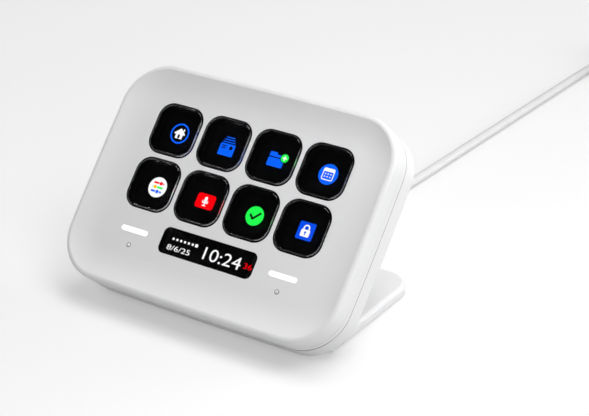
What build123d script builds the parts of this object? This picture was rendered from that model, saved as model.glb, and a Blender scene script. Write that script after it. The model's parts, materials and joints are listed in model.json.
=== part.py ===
from build123d import *
import os
from math import cos, radians, sin, sqrt, tan

# Desk keypad with eight clear keys over one display, an info strip, two touch points, a V-shaped stand
# and a captive USB lead. Millimetres. The keypad stands on Z = 0, X runs along its width, -Y faces the
# user, and the origin is the bottom centre of the keypad without its lead.
#
# The case is drawn flat in its face frame and then tilted. There x runs across the face, y up the face and
# z out of it, with the origin on the dish floor at the middle of the case outline.

CUT_MARGIN = 1.0  # how far a cut runs on past the face that it opens

# --- Case ---
CASE_TILT = 48.2  # degrees between face and desk
CASE_SIDE_MARGIN = 15.4  # key grid to each side
CASE_TOP_MARGIN = 12.56  # key grid to the upper edge
CASE_BOTTOM_MARGIN = 15.92  # info window to the lower edge
SIDE_BOW = 0.5  # how far each side bulges out at its middle
CORNER_RADIUS = 16.0
CASE_LIFT = 0.2  # rear lower edge above the desk
RIM_HEIGHT = 2.4  # rim above the dish floor
RIM_WIDTH = 1.6
RIM_ROUND = 1.2
DISH_RUN = 10.0  # width of the concave rise from floor to rim
FLOOR_THICKNESS = 1.5
WALL = 2.0
FRONT_DEPTH = 6.4  # front shell's wall, rim to parting line
CASE_DEPTH = 16.0  # rim to rear face
PARTING_GAP = 0.2
LIP_THICKNESS = 1.0
LIP_OVERLAP = 1.6  # how far the rear shell's lip reaches into the front shell
LIP_ROOT = 2.5
LIP_CLEARANCE = 0.15
BACK_THICKNESS = 2.0
REAR_CHAMFER = 0.8

# --- Keys ---
KEY_COLUMNS = 4
KEY_ROWS = 2
KEY_PITCH = 19.6
KEY_GAP = 2.2  # between neighbouring caps
CAP_CORNER = 4.9
CAP_EDGE_ROUND = 0.9
CAP_PROUD = 0.4  # cap top above the dish floor
CAP_THICKNESS = 2.65
CAP_CLEARANCE = 0.25  # cap to opening, each side
OPENING_CHAMFER = 0.2
FLANGE_WIDTH = 0.7
FLANGE_SEAT_GAP = 0.1  # flange to the underside of the floor
KEY_TRAVEL = 1.2

# --- Display stack ---
MAT_GAP = 0.05  # pressed key to the mat's web
MAT_THICKNESS = 0.4
MAT_LAND = 1.0  # cap's side to the mat's window
COLLAR_GAP = 0.05  # resting key to the top of its collar
COLLAR_FOOT = 0.5  # collar's wall at the web
COLLAR_TOP = 0.9  # collar's wall under the cap
LCD_SIDE_MARGIN = 1.9  # key grid to the panel's sides
LCD_END_MARGIN = 1.1  # key grid to the panel's upper and lower edges
LCD_THICKNESS = 2.4
LCD_GLASS_THICKNESS = 0.7
LCD_BEZEL = 1.0
LCD_GLASS_CORNER = 0.8
TRAY_FLOOR = 1.0
TRAY_WALL = 1.2
TRAY_CLEARANCE = 0.15
TRAY_CORNER = 1.5
FLEX_THICKNESS = 0.15
FLEX_CLEARANCE = 0.25
FLEX_CONNECTOR_DEPTH = 3.0
FLEX_CONNECTOR_MARGIN = 1.0  # connector beside the tail, each side
FLEX_RETURN = 1.4  # tail's run back to its connector
FLEX_HEIGHT = 0.4  # tail above the board
LCD_FLEX_WIDTH = 20.0
LCD_FLEX_DROP = 1.2  # below the panel's face
INFO_FLEX_WIDTH = 8.0
INFO_FLEX_DROP = 0.8

# --- Info strip, light bars and touch points ---
INFO_WIDTH = 36.7
INFO_HEIGHT = 8.9
INFO_CORNER = 2.1
INFO_GAP = 3.22  # below the key grid
INFO_FLANGE = 0.4
INFO_FLANGE_THICKNESS = 0.6
INFO_MODULE_THICKNESS = 1.6
BAR_LENGTH = 10.6
BAR_WIDTH = 1.7
BAR_OFFSET = 0.13  # bars below the middle of the info window
BAR_FLANGE = 0.8
BAR_FLANGE_THICKNESS = 0.7
BAR_LED_GAP = 0.2
GLUE_CLEARANCE = 0.08  # window or bar to its opening, each side
DOT_OFFSET = 5.16  # dots below the bars
DOT_RADIUS = 0.65
DOT_SINK = 0.2  # centre of the dot's ball below the floor
TOUCH_PAD_WIDTH = 14.0
TOUCH_PAD_HEIGHT = 6.4
TOUCH_PAD_THICKNESS = 0.4
TOUCH_PAD_CORNER = 1.0

# --- Board ---
BOARD_SIDE_MARGIN = 2.0  # display panel to each side of the board
BOARD_END_MARGIN = 8.8  # board to the case's upper and lower edges
BOARD_CORNER = 3.0
BOARD_THICKNESS = 1.2
BOARD_GAP = 1.6  # tray to board
LED_SIZE = 1.6
LED_HEIGHT = 0.6
LEDS_PER_BAR = 3
LED_STEP = 3.4
CHIP_SIZE = 12.0
MEMORY_OFFSET = 18.0  # right of the main chip
CHIP_HEIGHT = 1.0
MEMORY_WIDTH = 8.0
MEMORY_HEIGHT = 6.0
LEAD_CONNECTOR_WIDTH = 8.0
LEAD_CONNECTOR_DEPTH = 4.0
LEAD_CONNECTOR_HEIGHT = 1.2
LEAD_CONNECTOR_OFFSET = 24.0  # right of the lead's exit

# --- Screws and bosses ---
BOSS_RADIUS = 2.75
BOSS_CLEARANCE = 0.3  # front boss to the rear shell's lip
SCREW_RADIUS = 1.0
SCREW_CLEARANCE = 0.05
SCREW_HEAD_RADIUS = 1.9
SCREW_HEAD_HEIGHT = 1.2
SCREW_HEAD_CHAMFER = 0.4
SCREW_TIP_GAP = 0.4
COUNTERBORE_CLEARANCE = 0.3
HEX_SOCKET = 0.65  # drive socket radius
SOCKET_DEPTH = 0.6
CASE_BOSS_INSET = 8.0
CASE_SPLIT_DEPTH = 6.0  # where front and rear bosses meet, below the floor
TRAY_POST_GAP = 1.2  # tray's wall to its posts
TRAY_POST_INSET = 5.6  # from the panel's upper and lower edges
BOARD_POST_INSET = 5.0  # from the board's edges
BOARD_POST_RADIUS = 2.4

# --- Stand ---
STAND_SIDE_INSET = 7.75  # from each side of the case
STAND_CORNER = 9.0
LEAF_LENGTH = 44.0  # up the rear face
LEAF_THICKNESS = 3.0
FOOT_REACH = 58.5  # behind the case's rear lower edge
STAND_TIP_CUT = 6.5  # blunt tip of the V, behind the same edge
FOOT_THICKNESS = 3.3
STAND_EDGE_ROUND = 1.5
STAND_CROTCH_ROUND = 3.0
STAND_SCREW_SPACING = 52.0
STAND_SCREW_LOW = 18.0  # above the rear lower edge, along the leaf
STAND_SCREW_END = 8.0  # from the leaf's end
STAND_SCREW_HEAD_RADIUS = 2.3
STAND_SCREW_DEPTH = 2.6  # into the rear shell
STAND_BOSS_RADIUS = 3.0
STAND_BOSS_HEIGHT = 1.2
PAD_THICKNESS = 0.6
PAD_SIDE_INSET = 4.0
PAD_END_INSET = 4.0
PAD_CORNER = 6.0
BALLAST_SIDE_INSET = 10.0
BALLAST_END_INSET = 10.25
BALLAST_CORNER = 3.0
BALLAST_THICKNESS = 1.5
BALLAST_CLEARANCE = 0.1

# --- Lead ---
CABLE_DIAMETER = 3.5
EXIT_GAP = 10.0  # leaf's end to the exit, along the rear face
RELIEF_LENGTH = 20.0
RELIEF_ROOT_RADIUS = 3.9
RELIEF_TIP_RADIUS = 2.5
RELIEF_COLLAR_RADIUS = 4.8
RELIEF_COLLAR_THICKNESS = 1.2
RELIEF_FLANGE_THICKNESS = 0.9
RELIEF_CLEARANCE = 0.1
RELIEF_GROOVES = 4
RELIEF_GROOVE_WIDTH = 1.3
RELIEF_GROOVE_STEP = 3.4
RELIEF_GROOVE_START = 3.6
RELIEF_GROOVE_DEPTH = 0.6
LEAD_ROUTE = [(4.5, 90.0), (13.1, 276.8)]  # (x, y) on the desk, from the touch-down to the coil
LEAD_ARC_SHARE = 0.45  # share of the shorter run beside a corner that its arc takes
COIL_TURNS_WIDE = 3
COIL_TURNS_HIGH = 3
COIL_MID_RADIUS = 20.0
TAIL_LENGTH = 28.0
PLUG_WIDTH = 11.2
PLUG_THICKNESS = 6.2
PLUG_CORNER = 2.9
PLUG_EDGE_ROUND = 0.7
PLUG_LENGTH = 18.0
PLUG_NECK_LENGTH = 5.0
PLUG_NECK_RADIUS = 2.6
PLUG_TIP_WIDTH = 8.3
PLUG_TIP_THICKNESS = 2.5
PLUG_TIP_CORNER = 1.2
PLUG_TIP_LENGTH = 6.6
PLUG_TIP_WALL = 0.35

# --- Sizes that follow ---
CAP_SIZE = KEY_PITCH - KEY_GAP
GRID_WIDTH = KEY_COLUMNS * KEY_PITCH - KEY_GAP
GRID_HEIGHT = KEY_ROWS * KEY_PITCH - KEY_GAP
CASE_WIDTH = GRID_WIDTH + 2 * CASE_SIDE_MARGIN
CASE_HEIGHT = CASE_TOP_MARGIN + GRID_HEIGHT + INFO_GAP + INFO_HEIGHT + CASE_BOTTOM_MARGIN
KEY_GRID_RISE = CASE_HEIGHT / 2 - CASE_TOP_MARGIN - GRID_HEIGHT / 2
LCD_WIDTH = GRID_WIDTH + 2 * LCD_SIDE_MARGIN
LCD_HEIGHT = GRID_HEIGHT + 2 * LCD_END_MARGIN
MAT_WINDOW = CAP_SIZE - 2 * MAT_LAND
BOARD_WIDTH = LCD_WIDTH + 2 * BOARD_SIDE_MARGIN
BOARD_HEIGHT = CASE_HEIGHT - 2 * BOARD_END_MARGIN
STAND_WIDTH = CASE_WIDTH - 2 * STAND_SIDE_INSET
FOOT_LENGTH = FOOT_REACH - STAND_TIP_CUT
OUTER_TURN_RADIUS = COIL_MID_RADIUS + (COIL_TURNS_WIDE - 1) / 2 * CABLE_DIAMETER

# --- Levels in the face frame, from the front to the back ---
PARTING_LEVEL = RIM_HEIGHT - FRONT_DEPTH
REAR_LEVEL = RIM_HEIGHT - CASE_DEPTH
BACK_INSIDE = REAR_LEVEL + BACK_THICKNESS
CAP_BOTTOM = CAP_PROUD - CAP_THICKNESS
FLANGE_TOP = -FLOOR_THICKNESS - FLANGE_SEAT_GAP
MAT_TOP = CAP_BOTTOM - KEY_TRAVEL - MAT_GAP
LCD_TOP = MAT_TOP - MAT_THICKNESS
LCD_BOTTOM = LCD_TOP - LCD_THICKNESS
TRAY_BOTTOM = LCD_BOTTOM - TRAY_FLOOR
BOARD_TOP = TRAY_BOTTOM - BOARD_GAP
BOARD_BOTTOM = BOARD_TOP - BOARD_THICKNESS
INFO_MODULE_TOP = -FLOOR_THICKNESS - INFO_FLANGE_THICKNESS
INFO_MODULE_BOTTOM = INFO_MODULE_TOP - INFO_MODULE_THICKNESS
LEAF_LEVEL = REAR_LEVEL - LEAF_THICKNESS

# --- Places in the face frame ---
KEY_CENTRES = [
    ((column - (KEY_COLUMNS - 1) / 2) * KEY_PITCH, KEY_GRID_RISE + ((KEY_ROWS - 1) / 2 - row) * KEY_PITCH)
    for row in range(KEY_ROWS)
    for column in range(KEY_COLUMNS)
]
CASE_BOSSES = [
    (x * (CASE_WIDTH / 2 - CASE_BOSS_INSET), y * (CASE_HEIGHT / 2 - CASE_BOSS_INSET))
    for x in (-1, 1)
    for y in (-1, 1)
]
TRAY_SIDE = LCD_WIDTH / 2 + TRAY_CLEARANCE + TRAY_WALL
TRAY_POSTS = [
    (x * (TRAY_SIDE + TRAY_POST_GAP + BOSS_RADIUS), KEY_GRID_RISE + y * (LCD_HEIGHT / 2 - TRAY_POST_INSET))
    for x in (-1, 1)
    for y in (-1, 1)
]
BOARD_POSTS = [
    (x * (BOARD_WIDTH / 2 - BOARD_POST_INSET), y * (BOARD_HEIGHT / 2 - BOARD_POST_INSET))
    for x in (-1, 1)
    for y in (-1, 1)
]
STAND_SCREWS = [
    (x * STAND_SCREW_SPACING / 2, rise - CASE_HEIGHT / 2)
    for x in (-1, 1)
    for rise in (STAND_SCREW_LOW, LEAF_LENGTH - STAND_SCREW_END)
]
INFO_RISE = CASE_BOTTOM_MARGIN + INFO_HEIGHT / 2 - CASE_HEIGHT / 2
BAR_RISE = INFO_RISE - BAR_OFFSET
DOT_RISE = BAR_RISE - DOT_OFFSET
BAR_CENTRES = {"left": (KEY_CENTRES[0][0], BAR_RISE), "right": (KEY_CENTRES[-1][0], BAR_RISE)}
EXIT_POINT = (0.0, LEAF_LENGTH + EXIT_GAP - CASE_HEIGHT / 2)
LCD_EDGE = KEY_GRID_RISE + LCD_HEIGHT / 2
INFO_EDGE = INFO_RISE - INFO_HEIGHT / 2 - INFO_FLANGE
LCD_FLEX_WALL = LCD_EDGE + TRAY_CLEARANCE + TRAY_WALL + FLEX_CLEARANCE
INFO_FLEX_WALL = INFO_EDGE - TRAY_WALL - FLEX_CLEARANCE

# --- Where the tilted case stands ---
SIN, COS = sin(radians(CASE_TILT)), cos(radians(CASE_TILT))


def tilted(rise, out):
    """(Y, Z) of a face-frame point turned to the case's tilt, about the face frame's origin."""
    return rise * COS - out * SIN, rise * SIN + out * COS


REAR_EDGE = tilted(-CASE_HEIGHT / 2, REAR_LEVEL)
RIM_ROUND_CENTRE = tilted(-CASE_HEIGHT / 2 + RIM_ROUND, RIM_HEIGHT - RIM_ROUND)
FRONT_REACH = REAR_EDGE[0] - (RIM_ROUND_CENTRE[0] - RIM_ROUND)  # case in front of its rear lower edge
REAR_EDGE_Y = FRONT_REACH - (FRONT_REACH + FOOT_REACH) / 2
FACE = Location((0, REAR_EDGE_Y - REAR_EDGE[0], CASE_LIFT - REAR_EDGE[1]), (CASE_TILT, 0, 0))


def on_face(*pieces):
    """Tilts pieces drawn in the face frame and stands them on the desk."""
    return [FACE * piece for piece in pieces]


def prism(sketch, bottom, top):
    """The sketch as a solid between two levels of the face frame."""
    return extrude(Pos(0, 0, bottom) * sketch, amount=top - bottom)


def post(place, radius, bottom, top):
    return prism(Pos(*place) * Circle(radius), bottom, top)


def rounded(width, height, corner, place=(0, 0)):
    return Pos(*place) * RectangleRounded(width, height, corner)


def slot(length, width, place):
    return Pos(*place) * SlotOverall(length, width)


def crossing(centre_a, radius_a, centre_b, radius_b):
    """Upper right point where two circles cross."""
    line = centre_b - centre_a
    along = (radius_a**2 - radius_b**2 + line.length**2) / (2 * line.length)
    aside = Vector(-line.Y, line.X).normalized() * sqrt(radius_a**2 - along**2)
    middle = centre_a + line.normalized() * along
    return max((middle + aside, middle - aside), key=lambda point: point.X + point.Y)


def case_outline(inset=0.0):
    """Case outline, or a line parallel to it: four bowed sides that run smoothly into round corners."""
    half_x, half_y = CASE_WIDTH / 2, CASE_HEIGHT / 2
    side_radius = ((half_y - SIDE_BOW) ** 2 + SIDE_BOW**2) / (2 * SIDE_BOW)
    top_radius = ((half_x - SIDE_BOW) ** 2 + SIDE_BOW**2) / (2 * SIDE_BOW)
    side_centre, top_centre = Vector(half_x - side_radius, 0), Vector(0, half_y - top_radius)
    corner = crossing(side_centre, side_radius - CORNER_RADIUS, top_centre, top_radius - CORNER_RADIUS)
    from_side, from_top = (corner - side_centre).normalized(), (corner - top_centre).normalized()
    low = corner + from_side * (CORNER_RADIUS - inset)
    high = corner + from_top * (CORNER_RADIUS - inset)
    bend = corner + (from_side + from_top).normalized() * (CORNER_RADIUS - inset)
    arcs = [
        ThreePointArc((low.X, -low.Y), (half_x - inset, 0), (low.X, low.Y)),
        ThreePointArc((-low.X, low.Y), (inset - half_x, 0), (-low.X, -low.Y)),
        ThreePointArc((high.X, high.Y), (0, half_y - inset), (-high.X, high.Y)),
        ThreePointArc((-high.X, -high.Y), (0, inset - half_y), (high.X, -high.Y)),
    ]
    for x in (-1, 1):
        for y in (-1, 1):
            arcs.append(ThreePointArc(*((x * end.X, y * end.Y) for end in (low, bend, high))))
    return make_face(arcs)


def screw(place, seat, tip, head_radius=SCREW_HEAD_RADIUS):
    """Pan-head screw along +z, with its head below the seat level and its shank up to the tip level."""
    head = post(place, head_radius, seat - SCREW_HEAD_HEIGHT, seat)
    head = chamfer(head.edges().group_by(Axis.Z)[0], SCREW_HEAD_CHAMFER)
    hexagon = Pos(*place) * RegularPolygon(HEX_SOCKET, 6)
    drive = prism(hexagon, seat - SCREW_HEAD_HEIGHT, seat - SOCKET_DEPTH)
    return head + post(place, SCREW_RADIUS, seat, tip) - drive


# --- Case shells ---


def front_ring():
    """Wall, rim and concave rise of the front shell: one section swept round the case outline."""
    inner = RIM_WIDTH + DISH_RUN
    dish_radius = (DISH_RUN**2 + RIM_HEIGHT**2) / (2 * RIM_HEIGHT)
    under_radius = dish_radius + FLOOR_THICKNESS
    wall_top = dish_radius - sqrt(under_radius**2 - (inner - WALL) ** 2)
    lap = inner + FLOOR_THICKNESS
    section = [
        Line((0, PARTING_LEVEL), (0, RIM_HEIGHT - RIM_ROUND)),
        TangentArc((0, RIM_HEIGHT - RIM_ROUND), (RIM_ROUND, RIM_HEIGHT), tangent=(0, 1)),
        Line((RIM_ROUND, RIM_HEIGHT), (RIM_WIDTH, RIM_HEIGHT)),
        TangentArc((inner, 0), (RIM_WIDTH, RIM_HEIGHT), tangent=(-1, 0)),
        Polyline((inner, 0), (lap, 0), (lap, -FLOOR_THICKNESS), (inner, -FLOOR_THICKNESS)),
        TangentArc((inner, -FLOOR_THICKNESS), (WALL, wall_top), tangent=(-1, 0)),
        Polyline((WALL, wall_top), (WALL, PARTING_LEVEL), (0, PARTING_LEVEL)),
    ]
    path = case_outline().face().outer_wire()
    inward = Vector(0, 0, 1).cross(path % 0)
    if inward.dot(path @ 0) > 0:
        inward = -inward
    start = Plane(origin=path @ 0, x_dir=inward, z_dir=inward.cross(Vector(0, 0, 1)))
    return sweep(start * make_face(section), path=path)


def key_opening(place):
    """What is cut out of the dish floor for a key, with a chamfer round its upper edge."""
    size, corner = CAP_SIZE + 2 * CAP_CLEARANCE, CAP_CORNER + CAP_CLEARANCE
    mouth_size = size + 2 * OPENING_CHAMFER
    hole = rounded(size, size, corner, place)
    mouth = rounded(mouth_size, mouth_size, corner + OPENING_CHAMFER, place)
    return prism(hole, -FLOOR_THICKNESS, CUT_MARGIN) + loft([Pos(0, 0, -OPENING_CHAMFER) * hole, mouth])


def front_shell():
    floor_inset = RIM_WIDTH + DISH_RUN + FLOOR_THICKNESS / 2
    shell = front_ring() + prism(case_outline(floor_inset), -FLOOR_THICKNESS, 0)
    for place in KEY_CENTRES:
        shell -= key_opening(place)
    for place in CASE_BOSSES:
        shell += post(place, BOSS_RADIUS, -CASE_SPLIT_DEPTH, 0)
    for place in TRAY_POSTS:
        shell += post(place, BOSS_RADIUS, LCD_BOTTOM, 0)
    for x, _ in BAR_CENTRES.values():
        shell += Pos(x, DOT_RISE, -DOT_SINK) * Sphere(DOT_RADIUS)
    gap = 2 * GLUE_CLEARANCE
    info = rounded(INFO_WIDTH + gap, INFO_HEIGHT + gap, INFO_CORNER + GLUE_CLEARANCE, (0, INFO_RISE))
    shell -= prism(info, -FLOOR_THICKNESS, CUT_MARGIN)
    for place in BAR_CENTRES.values():
        shell -= prism(slot(BAR_LENGTH + gap, BAR_WIDTH + gap, place), -FLOOR_THICKNESS, CUT_MARGIN)
    hole = SCREW_RADIUS + SCREW_CLEARANCE
    for place in CASE_BOSSES + TRAY_POSTS:
        shell -= post(place, hole, -CASE_SPLIT_DEPTH - CUT_MARGIN, -FLOOR_THICKNESS)
    return shell


def rear_shell():
    top = PARTING_LEVEL - PARTING_GAP
    block = prism(case_outline(), REAR_LEVEL, top)
    block = chamfer(block.edges().group_by(Axis.Z)[0], REAR_CHAMFER)
    shell = block - prism(case_outline(WALL), BACK_INSIDE, top)
    lip_out = WALL + LIP_CLEARANCE
    lip_hollow = case_outline(lip_out + LIP_THICKNESS)
    lip = prism(case_outline(lip_out), top - LIP_ROOT, PARTING_LEVEL + LIP_OVERLAP)
    root = prism(case_outline(WALL - LIP_CLEARANCE), top - LIP_ROOT, top - PARTING_GAP)
    shell += lip + root - prism(lip_hollow, top - LIP_ROOT, PARTING_LEVEL + LIP_OVERLAP)
    for place in CASE_BOSSES:
        shell -= post(place, BOSS_RADIUS + BOSS_CLEARANCE, -CASE_SPLIT_DEPTH, 0)
        shell += post(place, BOSS_RADIUS, BACK_INSIDE, -CASE_SPLIT_DEPTH)
    for place in BOARD_POSTS:
        shell += post(place, BOARD_POST_RADIUS, BACK_INSIDE, BOARD_BOTTOM)
    for place in STAND_SCREWS:
        shell += post(place, STAND_BOSS_RADIUS, BACK_INSIDE, BACK_INSIDE + STAND_BOSS_HEIGHT)
    for place in CASE_BOSSES:
        shell -= post(place, SCREW_HEAD_RADIUS + COUNTERBORE_CLEARANCE, REAR_LEVEL, BACK_INSIDE)
        shell -= post(place, SCREW_RADIUS + SCREW_CLEARANCE, BACK_INSIDE, -CASE_SPLIT_DEPTH)
    for place in BOARD_POSTS:
        shell -= post(place, SCREW_RADIUS + SCREW_CLEARANCE, BACK_INSIDE, BOARD_BOTTOM)
    for place in STAND_SCREWS:
        shell -= post(place, SCREW_RADIUS + SCREW_CLEARANCE, REAR_LEVEL, REAR_LEVEL + STAND_SCREW_DEPTH)
    return shell - post(EXIT_POINT, RELIEF_ROOT_RADIUS + RELIEF_CLEARANCE, REAR_LEVEL, BACK_INSIDE)


# --- Keys ---


def key_cap(place):
    cap = prism(rounded(CAP_SIZE, CAP_SIZE, CAP_CORNER, place), CAP_BOTTOM, CAP_PROUD)
    cap = fillet(cap.edges().group_by(Axis.Z)[-1], CAP_EDGE_ROUND)
    flange = CAP_SIZE + 2 * FLANGE_WIDTH
    return cap + prism(rounded(flange, flange, CAP_CORNER + FLANGE_WIDTH, place), CAP_BOTTOM, FLANGE_TOP)


def window_outline(place, margin):
    """Outline at this margin round a key's window in the mat."""
    size = MAT_WINDOW + 2 * margin
    return rounded(size, size, CAP_CORNER - MAT_LAND + margin, place)


def dome_mat():
    """Silicone sheet with a flaring collar under each key, which pushes the pressed key back."""
    mat = prism(rounded(LCD_WIDTH, LCD_HEIGHT, TRAY_CORNER, (0, KEY_GRID_RISE)), LCD_TOP, MAT_TOP)
    top = CAP_BOTTOM - COLLAR_GAP
    for place in KEY_CENTRES:
        outside = [Pos(0, 0, MAT_TOP) * window_outline(place, COLLAR_FOOT)]
        outside.append(Pos(0, 0, top) * window_outline(place, COLLAR_TOP))
        mat = mat + loft(outside) - prism(window_outline(place, 0), LCD_TOP, top)
    return mat


# --- Displays ---


def lcd_panel():
    place = (0, KEY_GRID_RISE)
    frame = prism(rounded(LCD_WIDTH, LCD_HEIGHT, TRAY_CORNER, place), LCD_BOTTOM, LCD_TOP)
    glass = rounded(LCD_WIDTH - 2 * LCD_BEZEL, LCD_HEIGHT - 2 * LCD_BEZEL, LCD_GLASS_CORNER, place)
    shoulder = LCD_TOP - LCD_GLASS_THICKNESS
    return frame - prism(rounded(LCD_WIDTH, LCD_HEIGHT, TRAY_CORNER, place) - glass, shoulder, LCD_TOP)


def lcd_tray():
    place = (0, KEY_GRID_RISE)
    gap = 2 * TRAY_CLEARANCE
    inside = rounded(LCD_WIDTH + gap, LCD_HEIGHT + gap, TRAY_CORNER + TRAY_CLEARANCE, place)
    wall = gap + 2 * TRAY_WALL
    outside = rounded(LCD_WIDTH + wall, LCD_HEIGHT + wall, TRAY_CORNER + TRAY_CLEARANCE + TRAY_WALL, place)
    tray = prism(outside, TRAY_BOTTOM, -FLOOR_THICKNESS) - prism(inside, LCD_BOTTOM, -FLOOR_THICKNESS)
    notch_width = LCD_FLEX_WIDTH + 2 * FLEX_CLEARANCE
    notch = Pos(0, LCD_EDGE) * Rectangle(notch_width, 2 * (TRAY_CLEARANCE + TRAY_WALL))
    tray -= prism(notch, LCD_BOTTOM, -FLOOR_THICKNESS)
    shelf_top = KEY_GRID_RISE - LCD_HEIGHT / 2
    shelf_bottom = INFO_EDGE - TRAY_WALL
    shelf_middle = (0, (shelf_top + shelf_bottom) / 2)
    shelf = Pos(*shelf_middle) * Rectangle(INFO_WIDTH + wall, shelf_top - shelf_bottom)
    tray += prism(shelf, TRAY_BOTTOM, LCD_BOTTOM)
    tray += prism(info_module_outline(), LCD_BOTTOM, INFO_MODULE_BOTTOM)
    hole = SCREW_RADIUS + SCREW_CLEARANCE
    for x, y in TRAY_POSTS:
        side = LCD_WIDTH / 2 if x > 0 else -LCD_WIDTH / 2
        arm = Pos((x + side) / 2, y) * Rectangle(abs(x - side), 2 * BOSS_RADIUS)
        ear = prism(arm + Pos(x, y) * Circle(BOSS_RADIUS), TRAY_BOTTOM, LCD_BOTTOM)
        tray += ear - post((x, y), hole, TRAY_BOTTOM, LCD_BOTTOM)
    return tray


def info_module_outline():
    margin = 2 * INFO_FLANGE
    return rounded(INFO_WIDTH + margin, INFO_HEIGHT + margin, INFO_FLANGE, (0, INFO_RISE))


def info_display():
    return prism(info_module_outline(), INFO_MODULE_BOTTOM, INFO_MODULE_TOP)


def info_window():
    place = (0, INFO_RISE)
    window = prism(rounded(INFO_WIDTH, INFO_HEIGHT, INFO_CORNER, place), INFO_MODULE_TOP, 0)
    margin = 2 * INFO_FLANGE
    flange = rounded(INFO_WIDTH + margin, INFO_HEIGHT + margin, INFO_CORNER + INFO_FLANGE, place)
    return window + prism(flange, INFO_MODULE_TOP, -FLOOR_THICKNESS)


def flex_tail(edge, level, wall, width):
    """Ribbon from a display's edge, out past the tray's wall and down, then back to its connector."""
    out = 1 if wall > 0 else -1
    outside = wall + out * FLEX_THICKNESS
    low = BOARD_TOP + FLEX_HEIGHT
    back = wall - out * FLEX_RETURN
    side = [
        (edge, level),
        (wall, level),
        (wall, low + FLEX_THICKNESS),
        (back, low + FLEX_THICKNESS),
        (back, low),
        (outside, low),
        (outside, level + FLEX_THICKNESS),
        (edge, level + FLEX_THICKNESS),
    ]
    return extrude(Plane.YZ * make_face(Polyline(*side, close=True)), amount=width / 2, both=True)


def flex_connector(wall, width):
    """Connector on the board in which a display's ribbon ends."""
    inward = -1 if wall > 0 else 1
    rise = wall + inward * (FLEX_RETURN + FLEX_CONNECTOR_DEPTH / 2)
    block = Pos(0, rise) * Rectangle(width + 2 * FLEX_CONNECTOR_MARGIN, FLEX_CONNECTOR_DEPTH)
    return prism(block, BOARD_TOP, BOARD_TOP + CHIP_HEIGHT)


def lcd_flex():
    return flex_tail(LCD_EDGE, LCD_TOP - LCD_FLEX_DROP, LCD_FLEX_WALL, LCD_FLEX_WIDTH)


def info_flex():
    return flex_tail(INFO_EDGE, INFO_MODULE_TOP - INFO_FLEX_DROP, INFO_FLEX_WALL, INFO_FLEX_WIDTH)


# --- Light bars and touch pads ---


def light_bar(place):
    """Light pipe from the board's light sources to a bar that is flush with the dish floor."""
    pipe = prism(slot(BAR_LENGTH, BAR_WIDTH, place), BOARD_TOP + LED_HEIGHT + BAR_LED_GAP, 0)
    flange = slot(BAR_LENGTH + 2 * BAR_FLANGE, BAR_WIDTH + 2 * BAR_FLANGE, place)
    return pipe + prism(flange, -FLOOR_THICKNESS - BAR_FLANGE_THICKNESS, -FLOOR_THICKNESS)


def touch_pad(x):
    pad = rounded(TOUCH_PAD_WIDTH, TOUCH_PAD_HEIGHT, TOUCH_PAD_CORNER, (x, DOT_RISE))
    return prism(pad, -FLOOR_THICKNESS - TOUCH_PAD_THICKNESS, -FLOOR_THICKNESS)


# --- Board ---


def main_board():
    board = rounded(BOARD_WIDTH, BOARD_HEIGHT, BOARD_CORNER)
    for place in BOARD_POSTS:
        board -= Pos(*place) * Circle(SCREW_RADIUS + SCREW_CLEARANCE)
    return prism(board, BOARD_BOTTOM, BOARD_TOP)


def board_components():
    """Light sources under each bar, two chips, and the connectors of both displays and the lead."""
    parts = []
    for x, y in BAR_CENTRES.values():
        for step in range(LEDS_PER_BAR):
            led = Pos(x + (step - (LEDS_PER_BAR - 1) / 2) * LED_STEP, y) * Rectangle(LED_SIZE, LED_SIZE)
            parts.append(prism(led, BOARD_TOP, BOARD_TOP + LED_HEIGHT))
    chip = Rectangle(CHIP_SIZE, CHIP_SIZE)
    memory = Pos(MEMORY_OFFSET, 0) * Rectangle(MEMORY_WIDTH, MEMORY_HEIGHT)
    parts += [prism(sketch, BOARD_TOP, BOARD_TOP + CHIP_HEIGHT) for sketch in (chip, memory)]
    parts.append(flex_connector(LCD_FLEX_WALL, LCD_FLEX_WIDTH))
    parts.append(flex_connector(INFO_FLEX_WALL, INFO_FLEX_WIDTH))
    beside_exit = Pos(EXIT_POINT[0] + LEAD_CONNECTOR_OFFSET, EXIT_POINT[1])
    connector = beside_exit * Rectangle(LEAD_CONNECTOR_WIDTH, LEAD_CONNECTOR_DEPTH)
    parts.append(prism(connector, BOARD_BOTTOM - LEAD_CONNECTOR_HEIGHT, BOARD_BOTTOM))
    return parts


# --- Screws ---


def case_screws():
    return [screw(place, BACK_INSIDE, -FLOOR_THICKNESS - SCREW_TIP_GAP) for place in CASE_BOSSES]


def tray_screws():
    return [screw(place, TRAY_BOTTOM, -FLOOR_THICKNESS - SCREW_TIP_GAP) for place in TRAY_POSTS]


def board_screws():
    """Driven from the front of the board into the rear shell's posts."""
    flipped = []
    for x, y in BOARD_POSTS:
        upright = screw((x, -y), -BOARD_TOP, -BACK_INSIDE - SCREW_TIP_GAP)
        flipped.append(Rot(180, 0, 0) * upright)
    return flipped


def stand_screws():
    """Countersunk screws, flush with the stand's leaf."""
    screws = []
    cone = STAND_SCREW_HEAD_RADIUS - SCREW_RADIUS
    for place in STAND_SCREWS:
        top = REAR_LEVEL + STAND_SCREW_DEPTH - SCREW_TIP_GAP
        body = post(place, SCREW_RADIUS, LEAF_LEVEL, top)
        middle = (*place, LEAF_LEVEL + cone / 2)
        body += Pos(*middle) * Cone(STAND_SCREW_HEAD_RADIUS, SCREW_RADIUS, cone)
        drive = prism(Pos(*place) * RegularPolygon(HEX_SOCKET, 6), LEAF_LEVEL, LEAF_LEVEL + SOCKET_DEPTH)
        screws.append(body - drive)
    return screws


# --- Stand ---


def desk_point(rise, out):
    """(Y, Z) on the desk frame of a face-frame point."""
    y, z = tilted(rise, out)
    return y + FACE.position.Y, z + FACE.position.Z


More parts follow.
